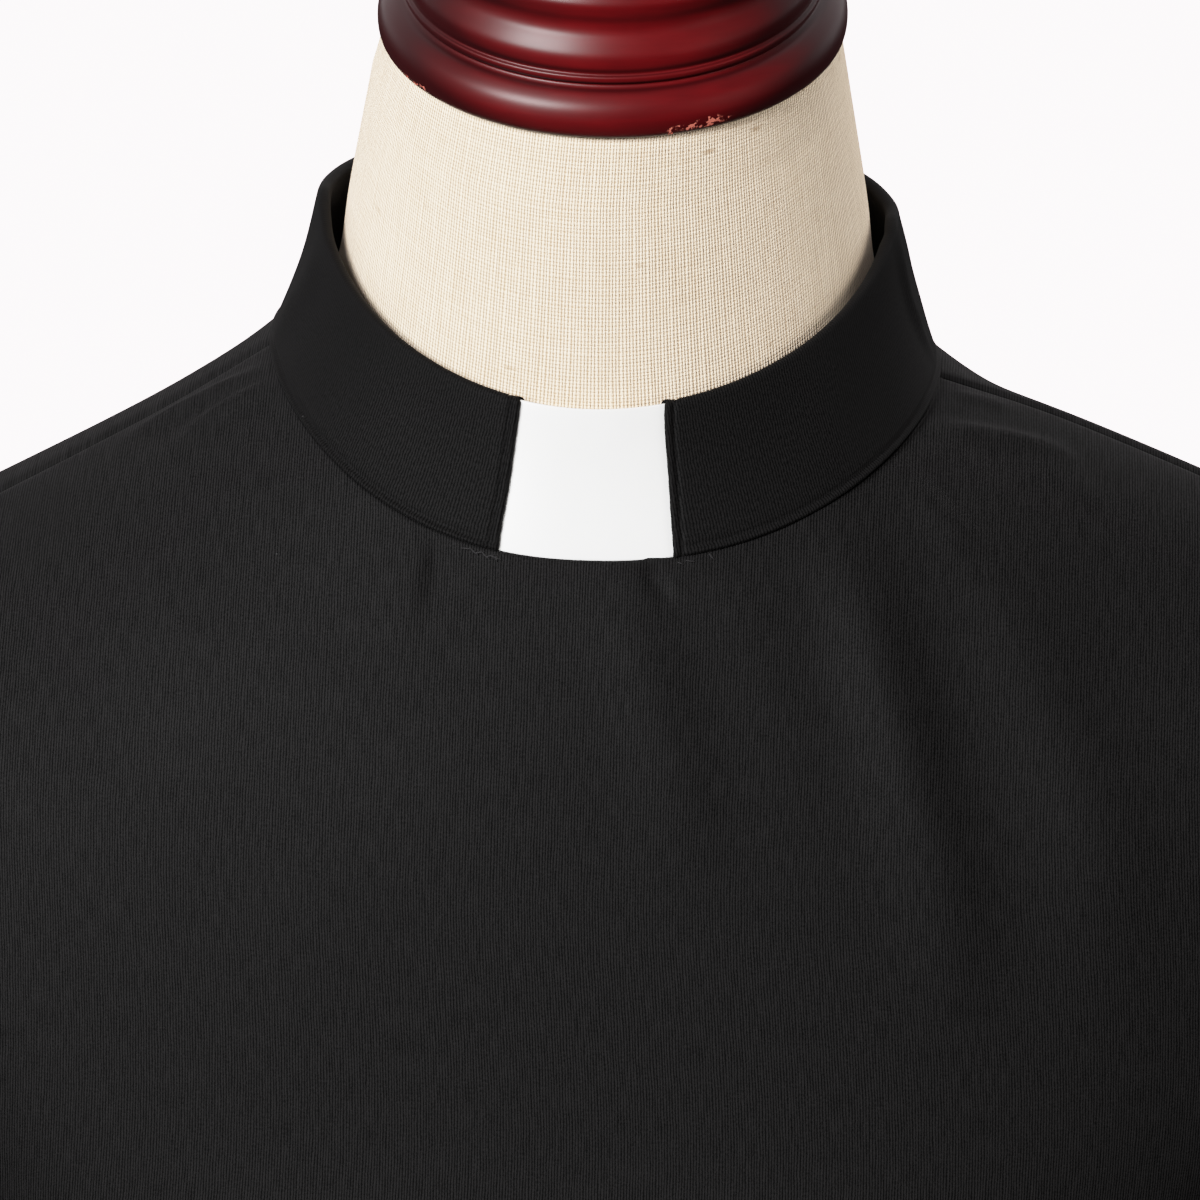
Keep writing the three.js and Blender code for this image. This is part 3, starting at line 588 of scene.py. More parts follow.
# degrees round the sleeve from its outer edge over the front, and place down it
LEFT_SLEEVE_FOLDS = [
    ([(48, 0.5), (40, 1.6), (28, 2.8)], 8, 2.2),
    ([(92, 0.8), (80, 2.0), (66, 3.2)], 9, 2.0),
    ([(-60, 0.7), (-48, 2.0), (-35, 3.2)], 9, 1.8),
    ([(60, 3.6), (90, 4.1), (122, 4.5)], 8, 1.8),
    ([(130, 4.9), (92, 5.3), (60, 5.8)], 7, 2.2),
    ([(140, 5.8), (104, 5.9), (75, 6.3)], 6, 1.8),
    ([(-120, 4.4), (-95, 5.2), (-70, 5.6)], 9, 1.6),
    ([(20, 5.6), (28, 6.8), (18, 8.0)], 10, 1.5),
    ([(110, 7.0), (86, 7.8), (72, 9.0)], 8, 1.6),
    ([(-80, 6.6), (-72, 7.9), (-84, 9.2)], 9, 1.5),
]
RIGHT_SLEEVE_FOLDS = [
    ([(40, 0.6), (36, 1.9), (20, 3.1)], 9, 2.0),
    ([(85, 0.7), (77, 1.8), (70, 2.7)], 8, 2.2),
    ([(-52, 0.6), (-44, 1.7), (-38, 3.0)], 8, 1.7),
    ([(55, 3.9), (80, 4.3), (115, 4.8)], 9, 1.7),
    ([(136, 5.2), (100, 5.5), (64, 6.1)], 6, 2.1),
    ([(130, 6.2), (99, 6.4), (80, 6.7)], 7, 1.5),
    ([(-126, 4.8), (-99, 5.4), (-76, 6.0)], 8, 1.8),
    ([(12, 5.2), (22, 6.5), (25, 7.6)], 11, 1.4),
    ([(100, 7.3), (90, 8.2), (70, 9.3)], 9, 1.4),
    ([(-88, 7.0), (-77, 8.3), (-80, 9.5)], 8, 1.7),
]


def sleeve_piece(name, side, folds):
    """A sleeve from the armhole to the cuff, with its folds, inner seam and turned cuff."""
    surface = sleeve_point(side)
    turns = np.linspace(np.pi, 3 * np.pi, 145)[:-1]
    cuff_end = len(SLEEVE_SECTIONS)
    places = np.unique(np.concatenate([
        [0, 0.02, 0.06, 0.12, 0.2], np.linspace(0.3, 3, 40), np.linspace(3, cuff_end, 105),
        cuff_end - (CUFF_TURNING + ACROSS_STEP) / CUFF_DROP,
        cuff_end - np.array([0.002, 0.005, 0.009, 0.02]),
    ]).round(5))
    turn, place = np.meshgrid(turns, places)
    points = folded(surface(turn, place), surface, folds, ring=True)
    along = lengths_along(points, 1)
    seam_distance = np.minimum(along, along[:, -1:] - along)
    points = sunk(points, SLEEVE_SEAM_DEPTH, seam_distance, SLEEVE_SEAM_BREADTH, ring=True)
    below = smooth_step(place, *(cuff_end - np.array(CUFF_STEP)))
    points += grid_normals(points, ring=True) * (HEM_STEP * below)[..., None]
    closed = np.concatenate([points, points[:, :1]], axis=1)
    around = lengths_along(closed, 1)
    down = lengths_along(points.mean(axis=1, keepdims=True), 0)
    uv = np.stack([around - around[:, -1:] / 2, np.broadcast_to(down, around.shape)], -1) * MM
    return wall_piece(name, points, uv, CLOTH, ring=True)


sleeve_cloths = [
    sleeve_piece("sleeve_cloth_left", 1, LEFT_SLEEVE_FOLDS),
    sleeve_piece("sleeve_cloth_right", -1, RIGHT_SLEEVE_FOLDS),
]

# %% [markdown]
# The collar is a stiff band in two halves, three layers thick. Along its lower edge the
# turned-in seam allowance shows as a narrow roll with a groove above it. Its front ends
# are edge stitched, so they have the same roll and groove, and they are not quite
# straight. Heights and columns lie close together there to carry that.
# %% Collar band
COLLAR_WALL = 3.0
COLLAR_EDGE = 1.3
COLLAR_GAP_BASE = 11.9
COLLAR_GAP_TOP_LEFT = 14.7
COLLAR_GAP_TOP_RIGHT = 13.8
COLLAR_HEIGHT = 34.0
COLLAR_LENGTH = 192
COLLAR_MEAN_RADIUS = 66
BAND_EDGE = np.array([0, 0.12, 0.3, 0.6, 1.0, 1.6, 2.4])
BAND_BASE = np.array([0, 0.15, 0.4, 0.7, 1.0, 1.4, 1.8, 2.1, 2.4, 2.8, 3.4, 4.2])
BAND_FRONT = np.concatenate([[0, 0.12, 0.3, 0.55, 0.85, 1.2, 1.6], np.arange(1.9, 4.3, 0.3)])
# how far each stands out, its distance from the edge, and its half width
ROLL = (0.45, 0.9, 0.85)
GROOVE = (-0.5, 2.3, 0.42)
LEFT_COLLAR_FOLDS = [
    ([(84, 0.98), (83, 0.55), (88, 0.12)], 2.6, 0.9),
    ([(97, 0.9), (100, 0.5), (103, 0.1)], 5, 0.7),
    ([(40, 0.2), (47, 0.5), (52, 0.85)], 7, 0.35),
    ([(130, 0.2), (136, 0.6), (133, 0.95)], 6, 0.5),
]
RIGHT_COLLAR_FOLDS = [
    ([(-72, 0.95), (-76, 0.5), (-84, 0.05)], 6, 0.9),
    ([(-35, 0.15), (-43, 0.5), (-50, 0.9)], 8, 0.3),
    ([(-118, 0.15), (-124, 0.6), (-120, 0.95)], 6, 0.5),
]


def edge_roll(distance, strength):
    """A narrow roll beside an edge, and the groove of the stitches next to it."""
    rises = [out * np.exp(-(((distance - at) / width) ** 2)) for out, at, width in (ROLL, GROOVE)]
    return strength * (rises[0] + rises[1])


def collar_piece(name, side, folds):
    """Half of the collar, from its slightly uneven front end to the zip."""
    heights = np.unique(np.concatenate([
        BAND_BASE / COLLAR_HEIGHT, np.linspace(0.14, 0.9, 26), 1 - BAND_EDGE / COLLAR_HEIGHT,
    ]))
    columns = np.unique(np.concatenate([
        BAND_FRONT / COLLAR_LENGTH,
        np.linspace(4.6 / COLLAR_LENGTH, 1 - 3 / COLLAR_LENGTH, 150),
        1 - BAND_EDGE / COLLAR_LENGTH,
    ]))
    height, column = np.meshgrid(heights, columns, indexing="ij")
    wander = 0.05 * np.sin(height * 13 + side) + 0.03 * np.sin(height * 61 + 2 * side)
    top = COLLAR_GAP_TOP_LEFT if side > 0 else COLLAR_GAP_TOP_RIGHT
    start = COLLAR_GAP_BASE + (top - COLLAR_GAP_BASE) * height + wander
    phi = side * np.radians(start + (180 - start) * column)
    points = folded(collar_point(phi, height), collar_point, folds)
    from_end = edge_distances(points, 1)[0]
    from_base = edge_distances(points, 0)[0]
    rise = edge_roll(from_end, 0.75) + edge_roll(from_base, 1.0) * smooth_step(from_end, 1, 6)
    points = points + grid_normals(points) * rise[..., None]
    uv = np.stack([phi * COLLAR_MEAN_RADIUS, height * COLLAR_HEIGHT], -1) * MM
    return wall_piece(name, points, uv, COLLAR_WALL, edge_radius=COLLAR_EDGE)


collar_bands = [
    collar_piece("collar_band_left", 1, LEFT_COLLAR_FOLDS),
    collar_piece("collar_band_right", -1, RIGHT_COLLAR_FOLDS),
]

# %% [markdown]
# The tab is a strip of bright white plastic, 0.6 mm thick. Its ends sit in the pockets of
# the collar, and its long edges are cut clean and slightly rounded.
# %% White tab
TAB_REACH = 40
TAB_LOW = 0.03
TAB_HIGH = 0.97
TAB_THICK = 0.6
tab_heights = TAB_LOW + (TAB_HIGH - TAB_LOW) * close_to_edges(24, 32)
tab_turns = np.radians(np.linspace(-TAB_REACH, TAB_REACH, 121))
tab_height, tab_turn = np.meshgrid(tab_heights, tab_turns, indexing="ij")
tab_face = collar_point(tab_turn, tab_height)
tab_face -= grid_normals(tab_face) * (COLLAR_WALL - TAB_THICK) / 2
tab_uv = np.stack([tab_turn * COLLAR_MEAN_RADIUS, tab_height * COLLAR_HEIGHT], -1) * MM
white_tab = wall_piece("white_tab", tab_face, tab_uv, TAB_THICK)

# %% [markdown]
# The dress form is limbless: a torso and neck under a linen cover. Its neck shows, so it
# gets a fine mesh. Under the dress it keeps clear of the cloth by the ease of the table.
# %% Linen-covered form
CAP_TILT = math.radians(14)
CAP_CENTRE = np.array([0.75, -5, 1458.8])
NECK_TOP_RADIUS = 47.4
NECK_RIM_ROW = 4.2
NECK_MEAN_RADIUS = 57
FORM_BOTTOM_ROW = 10.6


def on_cap(points):
    """Leans points forward into the plane of the neck's flat top."""
    x, y, z = np.moveaxis(np.asarray(points, float), -1, 0)
    leaned_y = y * math.cos(CAP_TILT) - z * math.sin(CAP_TILT)
    leaned_z = y * math.sin(CAP_TILT) + z * math.cos(CAP_TILT)
    return np.stack([x, leaned_y, leaned_z], -1) + CAP_CENTRE


def form_skin(phi, row):
    """The form's face under the dress: the plain loops moved in by their ease."""
    outward = outward_normal(plain_point, phi, row)
    outward[..., 2] *= 1 - smooth_step(row, UNDERARM, UNDERARM + 1)
    outward /= np.linalg.norm(outward, axis=-1, keepdims=True)
    ease = rows_at(BODY_LOOPS, row)[..., 10:13]
    end = np.where(np.cos(phi) > 0, ease[..., 1], ease[..., 2])
    inwards = ease[..., 0] + (end - ease[..., 0]) * np.cos(phi) ** 2
    return plain_point(phi, row) - outward * inwards[..., None]


form_turns = np.linspace(np.pi, 3 * np.pi, 193)[:-1]
neck_top = on_cap(np.stack([
    NECK_TOP_RADIUS * np.sin(form_turns), -NECK_TOP_RADIUS * np.cos(form_turns),
    np.zeros_like(form_turns),
], -1))
neck_rows = np.linspace(NECK_RIM_ROW, 0, 64)
turn, place = np.meshgrid(form_turns, neck_rows)
neck = loop_point(NECK_LOOPS, turn, place)
neck_rim = neck[:1] + (neck_top - neck[:1]) * np.linspace(1, 0.2, 5)[:, None, None]
form_rows = np.concatenate([np.linspace(0.35, 5, 70), np.linspace(5.1, FORM_BOTTOM_ROW, 80)])
turn, place = np.meshgrid(form_turns, form_rows)
form_points = np.concatenate([neck_rim, neck, form_skin(turn, place)])
form_closed = np.concatenate([form_points, form_points[:, :1]], axis=1)
around = (np.append(form_turns, 3 * np.pi) - 2 * np.pi) * NECK_MEAN_RADIUS
around = np.broadcast_to(around, form_closed.shape[:2])
down = np.broadcast_to(lengths_along(form_points.mean(1, keepdims=True), 0), around.shape)
form_uv = np.stack([around, down], -1) * MM
vertices, places = quads_of(*form_points.shape[:2], True)
form_cover = new_piece(
    "form_cover", form_points.reshape(-1, 3), vertices, form_uv.reshape(-1, 2)[places]
)


def work_on(piece):
    """Makes one piece the only selected and active one."""
    bpy.ops.object.select_all(action="DESELECT")
    piece.select_set(True)
    bpy.context.view_layer.objects.active = piece


work_on(form_cover)
bpy.ops.object.mode_set(mode="EDIT")
bpy.ops.mesh.select_all(action="DESELECT")
bpy.ops.mesh.select_non_manifold()
bpy.ops.mesh.fill_holes(sides=0)
bpy.ops.mesh.select_all(action="SELECT")
bpy.ops.mesh.normals_make_consistent(inside=False)
bpy.ops.object.mode_set(mode="OBJECT")

# %% [markdown]
# The cap, the pole and the foot are turned wood. On a lathe a shape is only a profile, so
# each is a circle that is extruded up its profile and resized ring by ring. The listed
# points are the corners and swells of the profile, and a smooth curve runs through them.
# %% Turned wood
# radius and height, from the bottom up
CAP_PROFILE = [
    (47.2, 0), (48.5, 0.25), (49.0, 1.6), (48.9, 4.2), (47.8, 6.8), (45.6, 8.7),
    (43.9, 9.3), (43.4, 9.9), (43.9, 10.6), (43.8, 11.6), (43.1, 12.1), (43.3, 13.6),
    (42.9, 15.8), (41.6, 17.8), (40.2, 19.6), (39.6, 21.6), (39.7, 23.8), (39.5, 25.8),
    (38.4, 27.6), (37.9, 29.0), (38.6, 30.0), (38.2, 31.2), (36.0, 32.0), (33.6, 34.2),
    (29.6, 36.4), (22.5, 38.8), (14, 40.6), (9.2, 41.6), (7.4, 43.6), (8.8, 47.2),
    (11.6, 50.6), (12.2, 54.6), (10.4, 58.6), (6.2, 61.4),
]
WOOD_GAP = 0.3
POLE_TOP = float(rows_at(BODY_LOOPS, FORM_BOTTOM_ROW)[3]) - WOOD_GAP
POLE_PROFILE = [
    (34, 26.3), (34, 34), (24, 40), (16, 46), (16, 380), (16, POLE_TOP - 30),
    (24, POLE_TOP - 20), (46, POLE_TOP - 8), (46, POLE_TOP),
]
BASE_PROFILE = [(190, 0), (194, 3), (194, 10), (190, 15), (176, 18.5), (120, 22), (60, 26)]


def turn_on_lathe(name, profile, segments, finer):
    """A closed turned shape on the upright axis, its object at the origin."""
    steps = np.linspace(0, len(profile) - 1, finer * (len(profile) - 1) + 1)
    run = rows_at(profile, steps)
    bpy.ops.object.select_all(action="DESELECT")
    radius, height = run[0] * MM
    bpy.ops.mesh.primitive_circle_add(
        vertices=segments, radius=radius, fill_type="NGON", location=(0, 0, height)
    )
    piece = bpy.context.object
    piece.name = piece.data.name = name
    bpy.ops.object.mode_set(mode="EDIT")
    bpy.ops.mesh.select_all(action="SELECT")
    for (r0, z0), (r1, z1) in zip(run[:-1] * MM, run[1:] * MM):
        bpy.ops.mesh.extrude_region_move(TRANSFORM_OT_translate={"value": (0, 0, z1 - z0)})
        bpy.ops.transform.resize(value=(r1 / r0, r1 / r0, 1), center_override=(0, 0, z1))
    bpy.ops.mesh.select_all(action="SELECT")
    bpy.ops.mesh.normals_make_consistent(inside=False)
    bpy.ops.object.mode_set(mode="OBJECT")
    bpy.ops.object.transform_apply(location=True, rotation=True, scale=True)
    bpy.ops.object.shade_smooth_by_angle(angle=math.radians(40))
    print(name, len(piece.data.polygons), "faces", [round(v * 1000, 1) for v in piece.dimensions])
    return piece


form_cap = turn_on_lathe("turned_cap", CAP_PROFILE, 144, 5)
form_pole = turn_on_lathe("turned_pole", POLE_PROFILE, 64, 4)
form_base = turn_on_lathe("turned_base", BASE_PROFILE, 128, 4)

# %% [markdown]
# The cap sits level on the neck's top, which leans forward. Before it is leaned, each of
# its points is told how much it was knocked: a run of knocks on the lower bead in front,
# and a few elsewhere on it. The lacquer reads that attribute.
# %% Wear on the cap, and its lean
# degrees from the front, half breadth in degrees, lowest and highest height of a knock
KNOCKS = [
    (17.5, 2.2, 0.6, 2.2), (22, 3.2, 1.0, 3.0), (27, 3.6, 1.2, 3.4), (31.5, 2, 1.4, 2.8),
    (-51, 3, 0, 2), (-58, 2, 0.2, 1.4), (150, 6, 0, 2),
]
exposed = form_cap.data.attributes.new("exposed", "FLOAT", "POINT")
cap_points = np.array([vertex.co for vertex in form_cap.data.vertices]) / MM
cap_turn = np.degrees(np.arctan2(cap_points[:, 0], -cap_points[:, 1]))
cap_wear = np.zeros(len(cap_points))
for at, half, low, high in KNOCKS:
    off = np.clip(np.abs(cap_turn - at) / half, 0, 1)
    inside = (cap_points[:, 2] > low) & (cap_points[:, 2] < high)
    cap_wear = np.maximum(cap_wear, inside * np.cos(off * np.pi / 2))
exposed.data.foreach_set("value", cap_wear.astype(np.float32))
form_cap.rotation_euler = (CAP_TILT, 0, 0)
form_cap.location = Vector(on_cap([0, 0, WOOD_GAP])) * MM
work_on(form_cap)
bpy.ops.object.transform_apply(location=True, rotation=True, scale=True)

# %% [markdown]
# The zip's slider and pull are small castings. The CAD part has their true size with
# sharp edges, so a copy of each is merged and its edges are bevelled, as a casting's are.
# The tape behind the backs hardly shows, so its CAD node stays and only gets its finish.
# %% Slider and pull
CASTING_BEVEL = 0.28


def cast_from(node, name):
    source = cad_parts[node]
    piece = bpy.data.objects.new(name, source.data.copy())
    bpy.context.scene.collection.objects.link(piece)
    piece.data.materials.clear()
    work_on(piece)
    bpy.ops.object.mode_set(mode="EDIT")
    bpy.ops.mesh.select_all(action="SELECT")
    bpy.ops.mesh.remove_doubles(threshold=0.005 * MM)
    bpy.ops.mesh.dissolve_limited(angle_limit=math.radians(3))
    bpy.ops.mesh.normals_make_consistent(inside=False)
    bpy.ops.object.mode_set(mode="OBJECT")
    bevel = piece.modifiers.new("cast edges", "BEVEL")
    bevel.width = CASTING_BEVEL * MM
    bevel.segments = 3
    bevel.angle_limit = math.radians(50)
    bpy.ops.object.modifier_apply(modifier=bevel.name)
    bpy.ops.object.shade_smooth_by_angle(angle=math.radians(35))
    print(name, len(piece.data.polygons), "faces")
    return piece


slider = cast_from("zip_slider", "slider_casting")
pull = cast_from("zip_pull", "pull_casting")

# %% [markdown]
# Thread shows at a few places: a bar tack where the collar's right end meets the neck, and
# a few loose hand stitches below its left end. One stitch is a short thread, thick in the
# middle and pressed flat at its ends. It is modelled once and copied, each copy with its
# own place, and the copies of a row become one mesh.
# %% Stitches
STITCH_LENGTH = 1.5
STITCH_RADIUS = 0.23
STITCH_PROUD = 0.2
bpy.ops.object.select_all(action="DESELECT")
bpy.ops.mesh.primitive_cylinder_add(
    vertices=8, radius=STITCH_RADIUS * MM, depth=STITCH_LENGTH * MM, end_fill_type="NGON"
)
stitch = bpy.context.object
stitch.name = "one_stitch"
bpy.ops.object.mode_set(mode="EDIT")
bpy.ops.mesh.select_all(action="DESELECT")
bpy.ops.mesh.select_mode(type="FACE")
bpy.ops.object.mode_set(mode="OBJECT")
for face in stitch.data.polygons:
    face.select = abs(face.normal.z) > 0.9
bpy.ops.object.mode_set(mode="EDIT")
bpy.ops.mesh.inset(thickness=STITCH_RADIUS * 0.45 * MM)
bpy.ops.transform.resize(value=(1, 1, 1.12), center_override=(0, 0, 0))
bpy.ops.mesh.select_all(action="SELECT")
bpy.ops.mesh.subdivide(number_cuts=1)
bpy.ops.object.mode_set(mode="OBJECT")
for vertex in stitch.data.vertices:
    slim = 1 - 0.45 * (abs(vertex.co.z) / (STITCH_LENGTH / 2 * MM)) ** 2
    vertex.co.x *= slim
    vertex.co.y *= slim
bpy.ops.object.shade_smooth()


def thread_row(name, stitches):
    """Copies of the stitch, each given by its middle, its direction and its length."""
    copies = []
    for middle, direction, length in stitches:
        copy = bpy.data.objects.new(name, stitch.data.copy())
        bpy.context.scene.collection.objects.link(copy)
        lean = Vector(direction).normalized().to_track_quat("Z", "Y").to_matrix().to_4x4()
        stretch = Matrix.Scale(length / STITCH_LENGTH, 4, (0, 0, 1))
        copy.data.transform(Matrix.Translation(Vector(middle) * MM) @ lean @ stretch)
        copies.append(copy)
    bpy.ops.object.select_all(action="DESELECT")
    for copy in copies:
        copy.select_set(True)
    bpy.context.view_layer.objects.active = copies[0]
    bpy.ops.object.join()
    row = bpy.context.object
    row.name = row.data.name = name
    return row


def on_neck(degrees, row, proud):
    """A point just off the cloth near the neck seam, and the direction along the seam."""
    phi, place = math.radians(degrees), np.array(row)
    here = body_point(np.array(phi), place)
    beside = body_point(np.array(phi + 0.01), place) - body_point(np.array(phi - 0.01), place)
    below = body_point(np.array(phi), place + 0.02) - body_point(np.array(phi), place)
    outward = np.cross(below, beside)
    outward /= np.linalg.norm(outward)
    return here + outward * proud, beside / np.linalg.norm(beside), below / np.linalg.norm(below)


# degrees from the centre front, row, lean across the seam, length
TACK_STITCHES = [
    (-12.4, 0.05, 0.15, 2.4), (-13.2, 0.04, -0.5, 2.0), (-14.1, 0.05, 0.5, 2.2),
    (-15.1, 0.035, -0.4, 2.0), (-16.0, 0.04, 0.4, 2.2), (-17.2, 0.03, -0.2, 2.3),
    (-12.2, 0.06, 2.2, 1.3),
]
LOOSE_STITCHES = [(13.3, 0.05, 0.6, 1.3), (14.9, 0.04, 0.3, 1.8), (18.4, 0.04, 3.0, 1.7)]
thread_rows = []
for name, spots in [("bar_tack", TACK_STITCHES), ("loose_stitches", LOOSE_STITCHES)]:
    placed = []
    for degrees, row, lean, length in spots:
        middle, along, below = on_neck(degrees, row, STITCH_PROUD)
        placed.append((middle, along + below * lean, length))
    thread_rows.append(thread_row(name, placed))
bpy.data.objects.remove(stitch)

# %% [markdown]
# All finishes share a few effects, each a small node group with plain inputs: grain for
# the crêpe, a plain weave for linen and tape, specks of lint, and soft blotches. A group
# only hands out masks and heights. The shader with its fixed numbers stays in each
# material.
# %% Tools for node groups
def new_group(name, inputs, outputs):
    """An empty node group with number inputs, a vector input and number outputs."""
    group = bpy.data.node_groups.new(name, "ShaderNodeTree")
    group.interface.new_socket("Place", in_out="INPUT", socket_type="NodeSocketVector")
    for label, value in inputs:
        socket = group.interface.new_socket(label, in_out="INPUT", socket_type="NodeSocketFloat")
        socket.default_value = value
    for label in outputs:
        group.interface.new_socket(label, in_out="OUTPUT", socket_type="NodeSocketFloat")
    return group, Graph(group)


def share_of(texture):
    """The grey value that a texture node gives."""
    return texture.outputs["Factor" if "Factor" in texture.outputs else "Fac"]


class Graph:
    """Adds nodes to a tree and links them, so that a material reads from top to bottom."""

    def __init__(self, tree):
        self.tree = tree

    def node(self, kind, settings=None, **sockets):
        node = self.tree.nodes.new(kind)
        for label, value in (settings or {}).items():
            setattr(node, label, value)
        for label, value in sockets.items():
            self.feed(node, label.replace("_", " "), value)
        return node

    def feed(self, node, label, value):
        socket = node.inputs[int(label)] if label.isdigit() else node.inputs[label]
        if isinstance(value, bpy.types.NodeSocket):
            self.tree.links.new(value, socket)
        else:
            socket.default_value = value

    def times(self, value, factor, plus=None):
        """A value times a factor, plus a third one if there is one."""
        if plus is None:
            return self.maths("MULTIPLY", value, factor)
        return self.maths("MULTIPLY_ADD", value, factor, plus)

    def rounded(self, turn):
        """Rounded ridges side by side, one for each half turn."""
        return self.maths("ABSOLUTE", self.maths("SINE", turn))

    def maths(self, operation, first, second=0.0, third=0.0):
        node = self.tree.nodes.new("ShaderNodeMath")
        node.operation = operation
        for index, value in enumerate((first, second, third)):
            self.feed(node, str(index), value)
        return node.outputs[0]

    def scaled(self, place, x, y, z):
        """A place vector times three numbers or sockets."""
        factors = self.node("ShaderNodeCombineXYZ", X=x, Y=y, Z=z)
        node = self.tree.nodes.new("ShaderNodeVectorMath")
        node.operation = "MULTIPLY"
        self.feed(node, "0", place)
        self.feed(node, "1", factors.outputs[0])
        return node.outputs[0]

    def noise(self, place, scale, detail=2.0, roughness=0.5):
        node = self.node("ShaderNodeTexNoise", Vector=place, Scale=scale)
        self.feed(node, "Detail", detail)
        self.feed(node, "Roughness", roughness)
        return share_of(node)

    def ramp(self, value, low, high, to_low=0.0, to_high=1.0, smooth=True):
        node = self.tree.nodes.new("ShaderNodeMapRange")
        node.interpolation_type = "SMOOTHSTEP" if smooth else "LINEAR"
        for label, number in zip(("From Min", "From Max", "To Min", "To Max"),
                                 (low, high, to_low, to_high)):
            self.feed(node, label, number)
        self.feed(node, "Value", value)
        return node.outputs["Result"]

    def mixed(self, factor, first, second):
        """A mix of two colours."""
        node = self.tree.nodes.new("ShaderNodeMix")
        node.data_type = "RGBA"
        self.feed(node, "0", factor)
        self.feed(node, "6", first)
        self.feed(node, "7", second)
        return node.outputs[2]

    def use(self, group, place, **inputs):
        node = self.tree.nodes.new("ShaderNodeGroup")
        node.node_tree = group
        self.feed(node, "Place", place)
        for label, value in inputs.items():
            self.feed(node, label.replace("_", " "), value)
        return node.outputs


def group_ends(group):
    start = group.nodes.new("NodeGroupInput")
    end = group.nodes.new("NodeGroupOutput")
    return start.outputs, end.inputs


# %% [markdown]
# Crêpe has tightly twisted threads that stand up as fine upright ribs, about 0.6 mm apart
# and never quite even, each lighter or darker than the next for a few millimetres, with a
# dry speckle over them. Waves and noise stretched along the thread give that. Plain weave
# is two sets of rounded threads that go over and under each other, thicker here and there
# where the yarn has a slub.
# %% Groups for crêpe grain, plain weave, lint and blotches
crepe_grain, graph = new_group(
    "crepe grain", [("Thread", 0.0006), ("Streak", 0.009)], ["Height", "Shade"]
)
given, out = group_ends(crepe_grain)
per_thread = graph.maths("DIVIDE", 1.0, given["Thread"])
per_streak = graph.maths("DIVIDE", 1.0, given["Streak"])
place = graph.scaled(given["Place"], per_thread, per_streak, 1.0)
threads = graph.noise(place, 1.0, 1.0, 0.5)
wander = graph.noise(graph.scaled(place, 0.21, 0.6, 1.0), 1.0, 1.0, 0.5)
across = graph.node("ShaderNodeSeparateXYZ", Vector=place).outputs["X"]
across = graph.times(graph.times(wander, 0.8, across), math.pi)
ribs = graph.rounded(across)
finer = graph.times(per_thread, 1.9)
speckle = graph.noise(graph.scaled(given["Place"], finer, per_thread, 1.0), 1.13, 2.0, 0.6)
height = graph.times(ribs, 0.30, graph.times(threads, 0.22))
height = graph.times(speckle, 0.48, height)
crepe_grain.links.new(height, out["Height"])
crepe_grain.links.new(graph.ramp(height, 0.36, 0.74), out["Shade"])

plain_weave, graph = new_group(
    "plain weave", [("Pitch", 0.00075), ("Unevenness", 0.35)], ["Height", "Shade", "Slub"]
)
given, out = group_ends(plain_weave)
per_pitch = graph.maths("DIVIDE", 1.0, given["Pitch"])
place = graph.scaled(given["Place"], per_pitch, per_pitch, 1.0)
parts = graph.node("ShaderNodeSeparateXYZ", Vector=place)
turns = []
for axis, loose_x, loose_y in (("X", 0.45, 0.02), ("Y", 0.02, 0.45)):
    wander = graph.noise(graph.scaled(place, loose_x, loose_y, 1.0), 1.0, 2.0, 0.6)
    wander = graph.times(graph.maths("SUBTRACT", wander, 0.5), given["Unevenness"])
    along = graph.times(wander, 2.0, parts.outputs[axis])
    turns.append(graph.times(along, math.pi))
warp, weft = [graph.rounded(turn) for turn in turns]
over = [graph.maths("SINE", graph.maths("ADD", turn, math.pi / 2)) for turn in turns]
over = graph.times(graph.times(over[0], over[1]), 0.5, 0.5)
on_top = graph.times(warp, graph.times(over, 0.4, 0.3))
across = graph.times(weft, graph.times(over, -0.35, 0.4))
height = graph.maths("ADD", on_top, across)
yarn_x = graph.noise(graph.scaled(place, 1.0, 0.06, 1.0), 1.0, 2.0, 0.6)
yarn_y = graph.noise(graph.scaled(place, 0.06, 1.0, 1.0), 1.0, 2.0, 0.6)
under = graph.maths("SUBTRACT", 1.0, over)
yarns = graph.maths("ADD", graph.times(yarn_x, over), graph.times(yarn_y, under))
plain_weave.links.new(height, out["Height"])
plain_weave.links.new(graph.ramp(yarns, 0.3, 0.7), out["Shade"])
plain_weave.links.new(graph.ramp(yarn_y, 0.70, 0.76), out["Slub"])

lint, graph = new_group("lint", [("Spacing", 0.008), ("Size", 0.05)], ["Mask"])
given, out = group_ends(lint)
per_spacing = graph.maths("DIVIDE", 1.0, given["Spacing"])
place = graph.scaled(given["Place"], per_spacing, per_spacing, per_spacing)
cells = graph.node("ShaderNodeTexVoronoi", Vector=place, Scale=1.0)
bend = graph.noise(place, 9.0, 2.0, 0.6)
reach = graph.times(bend, given["Size"], cells.outputs["Distance"])
chosen = graph.node("ShaderNodeSeparateColor", Color=cells.outputs["Color"])
speck = graph.ramp(reach, given["Size"], graph.times(given["Size"], 0.55))
kept = graph.ramp(chosen.outputs["Red"], 0.55, 0.9)
lint.links.new(graph.times(speck, kept), out["Mask"])

blotches, graph = new_group("blotches", [("Size", 0.05)], ["Mask"])
given, out = group_ends(blotches)
per_size = graph.maths("DIVIDE", 1.0, given["Size"])
place = graph.scaled(given["Place"], per_size, per_size, per_size)
blotches.links.new(graph.ramp(graph.noise(place, 1.0, 3.0, 0.55), 0.3, 0.7), out["Mask"])


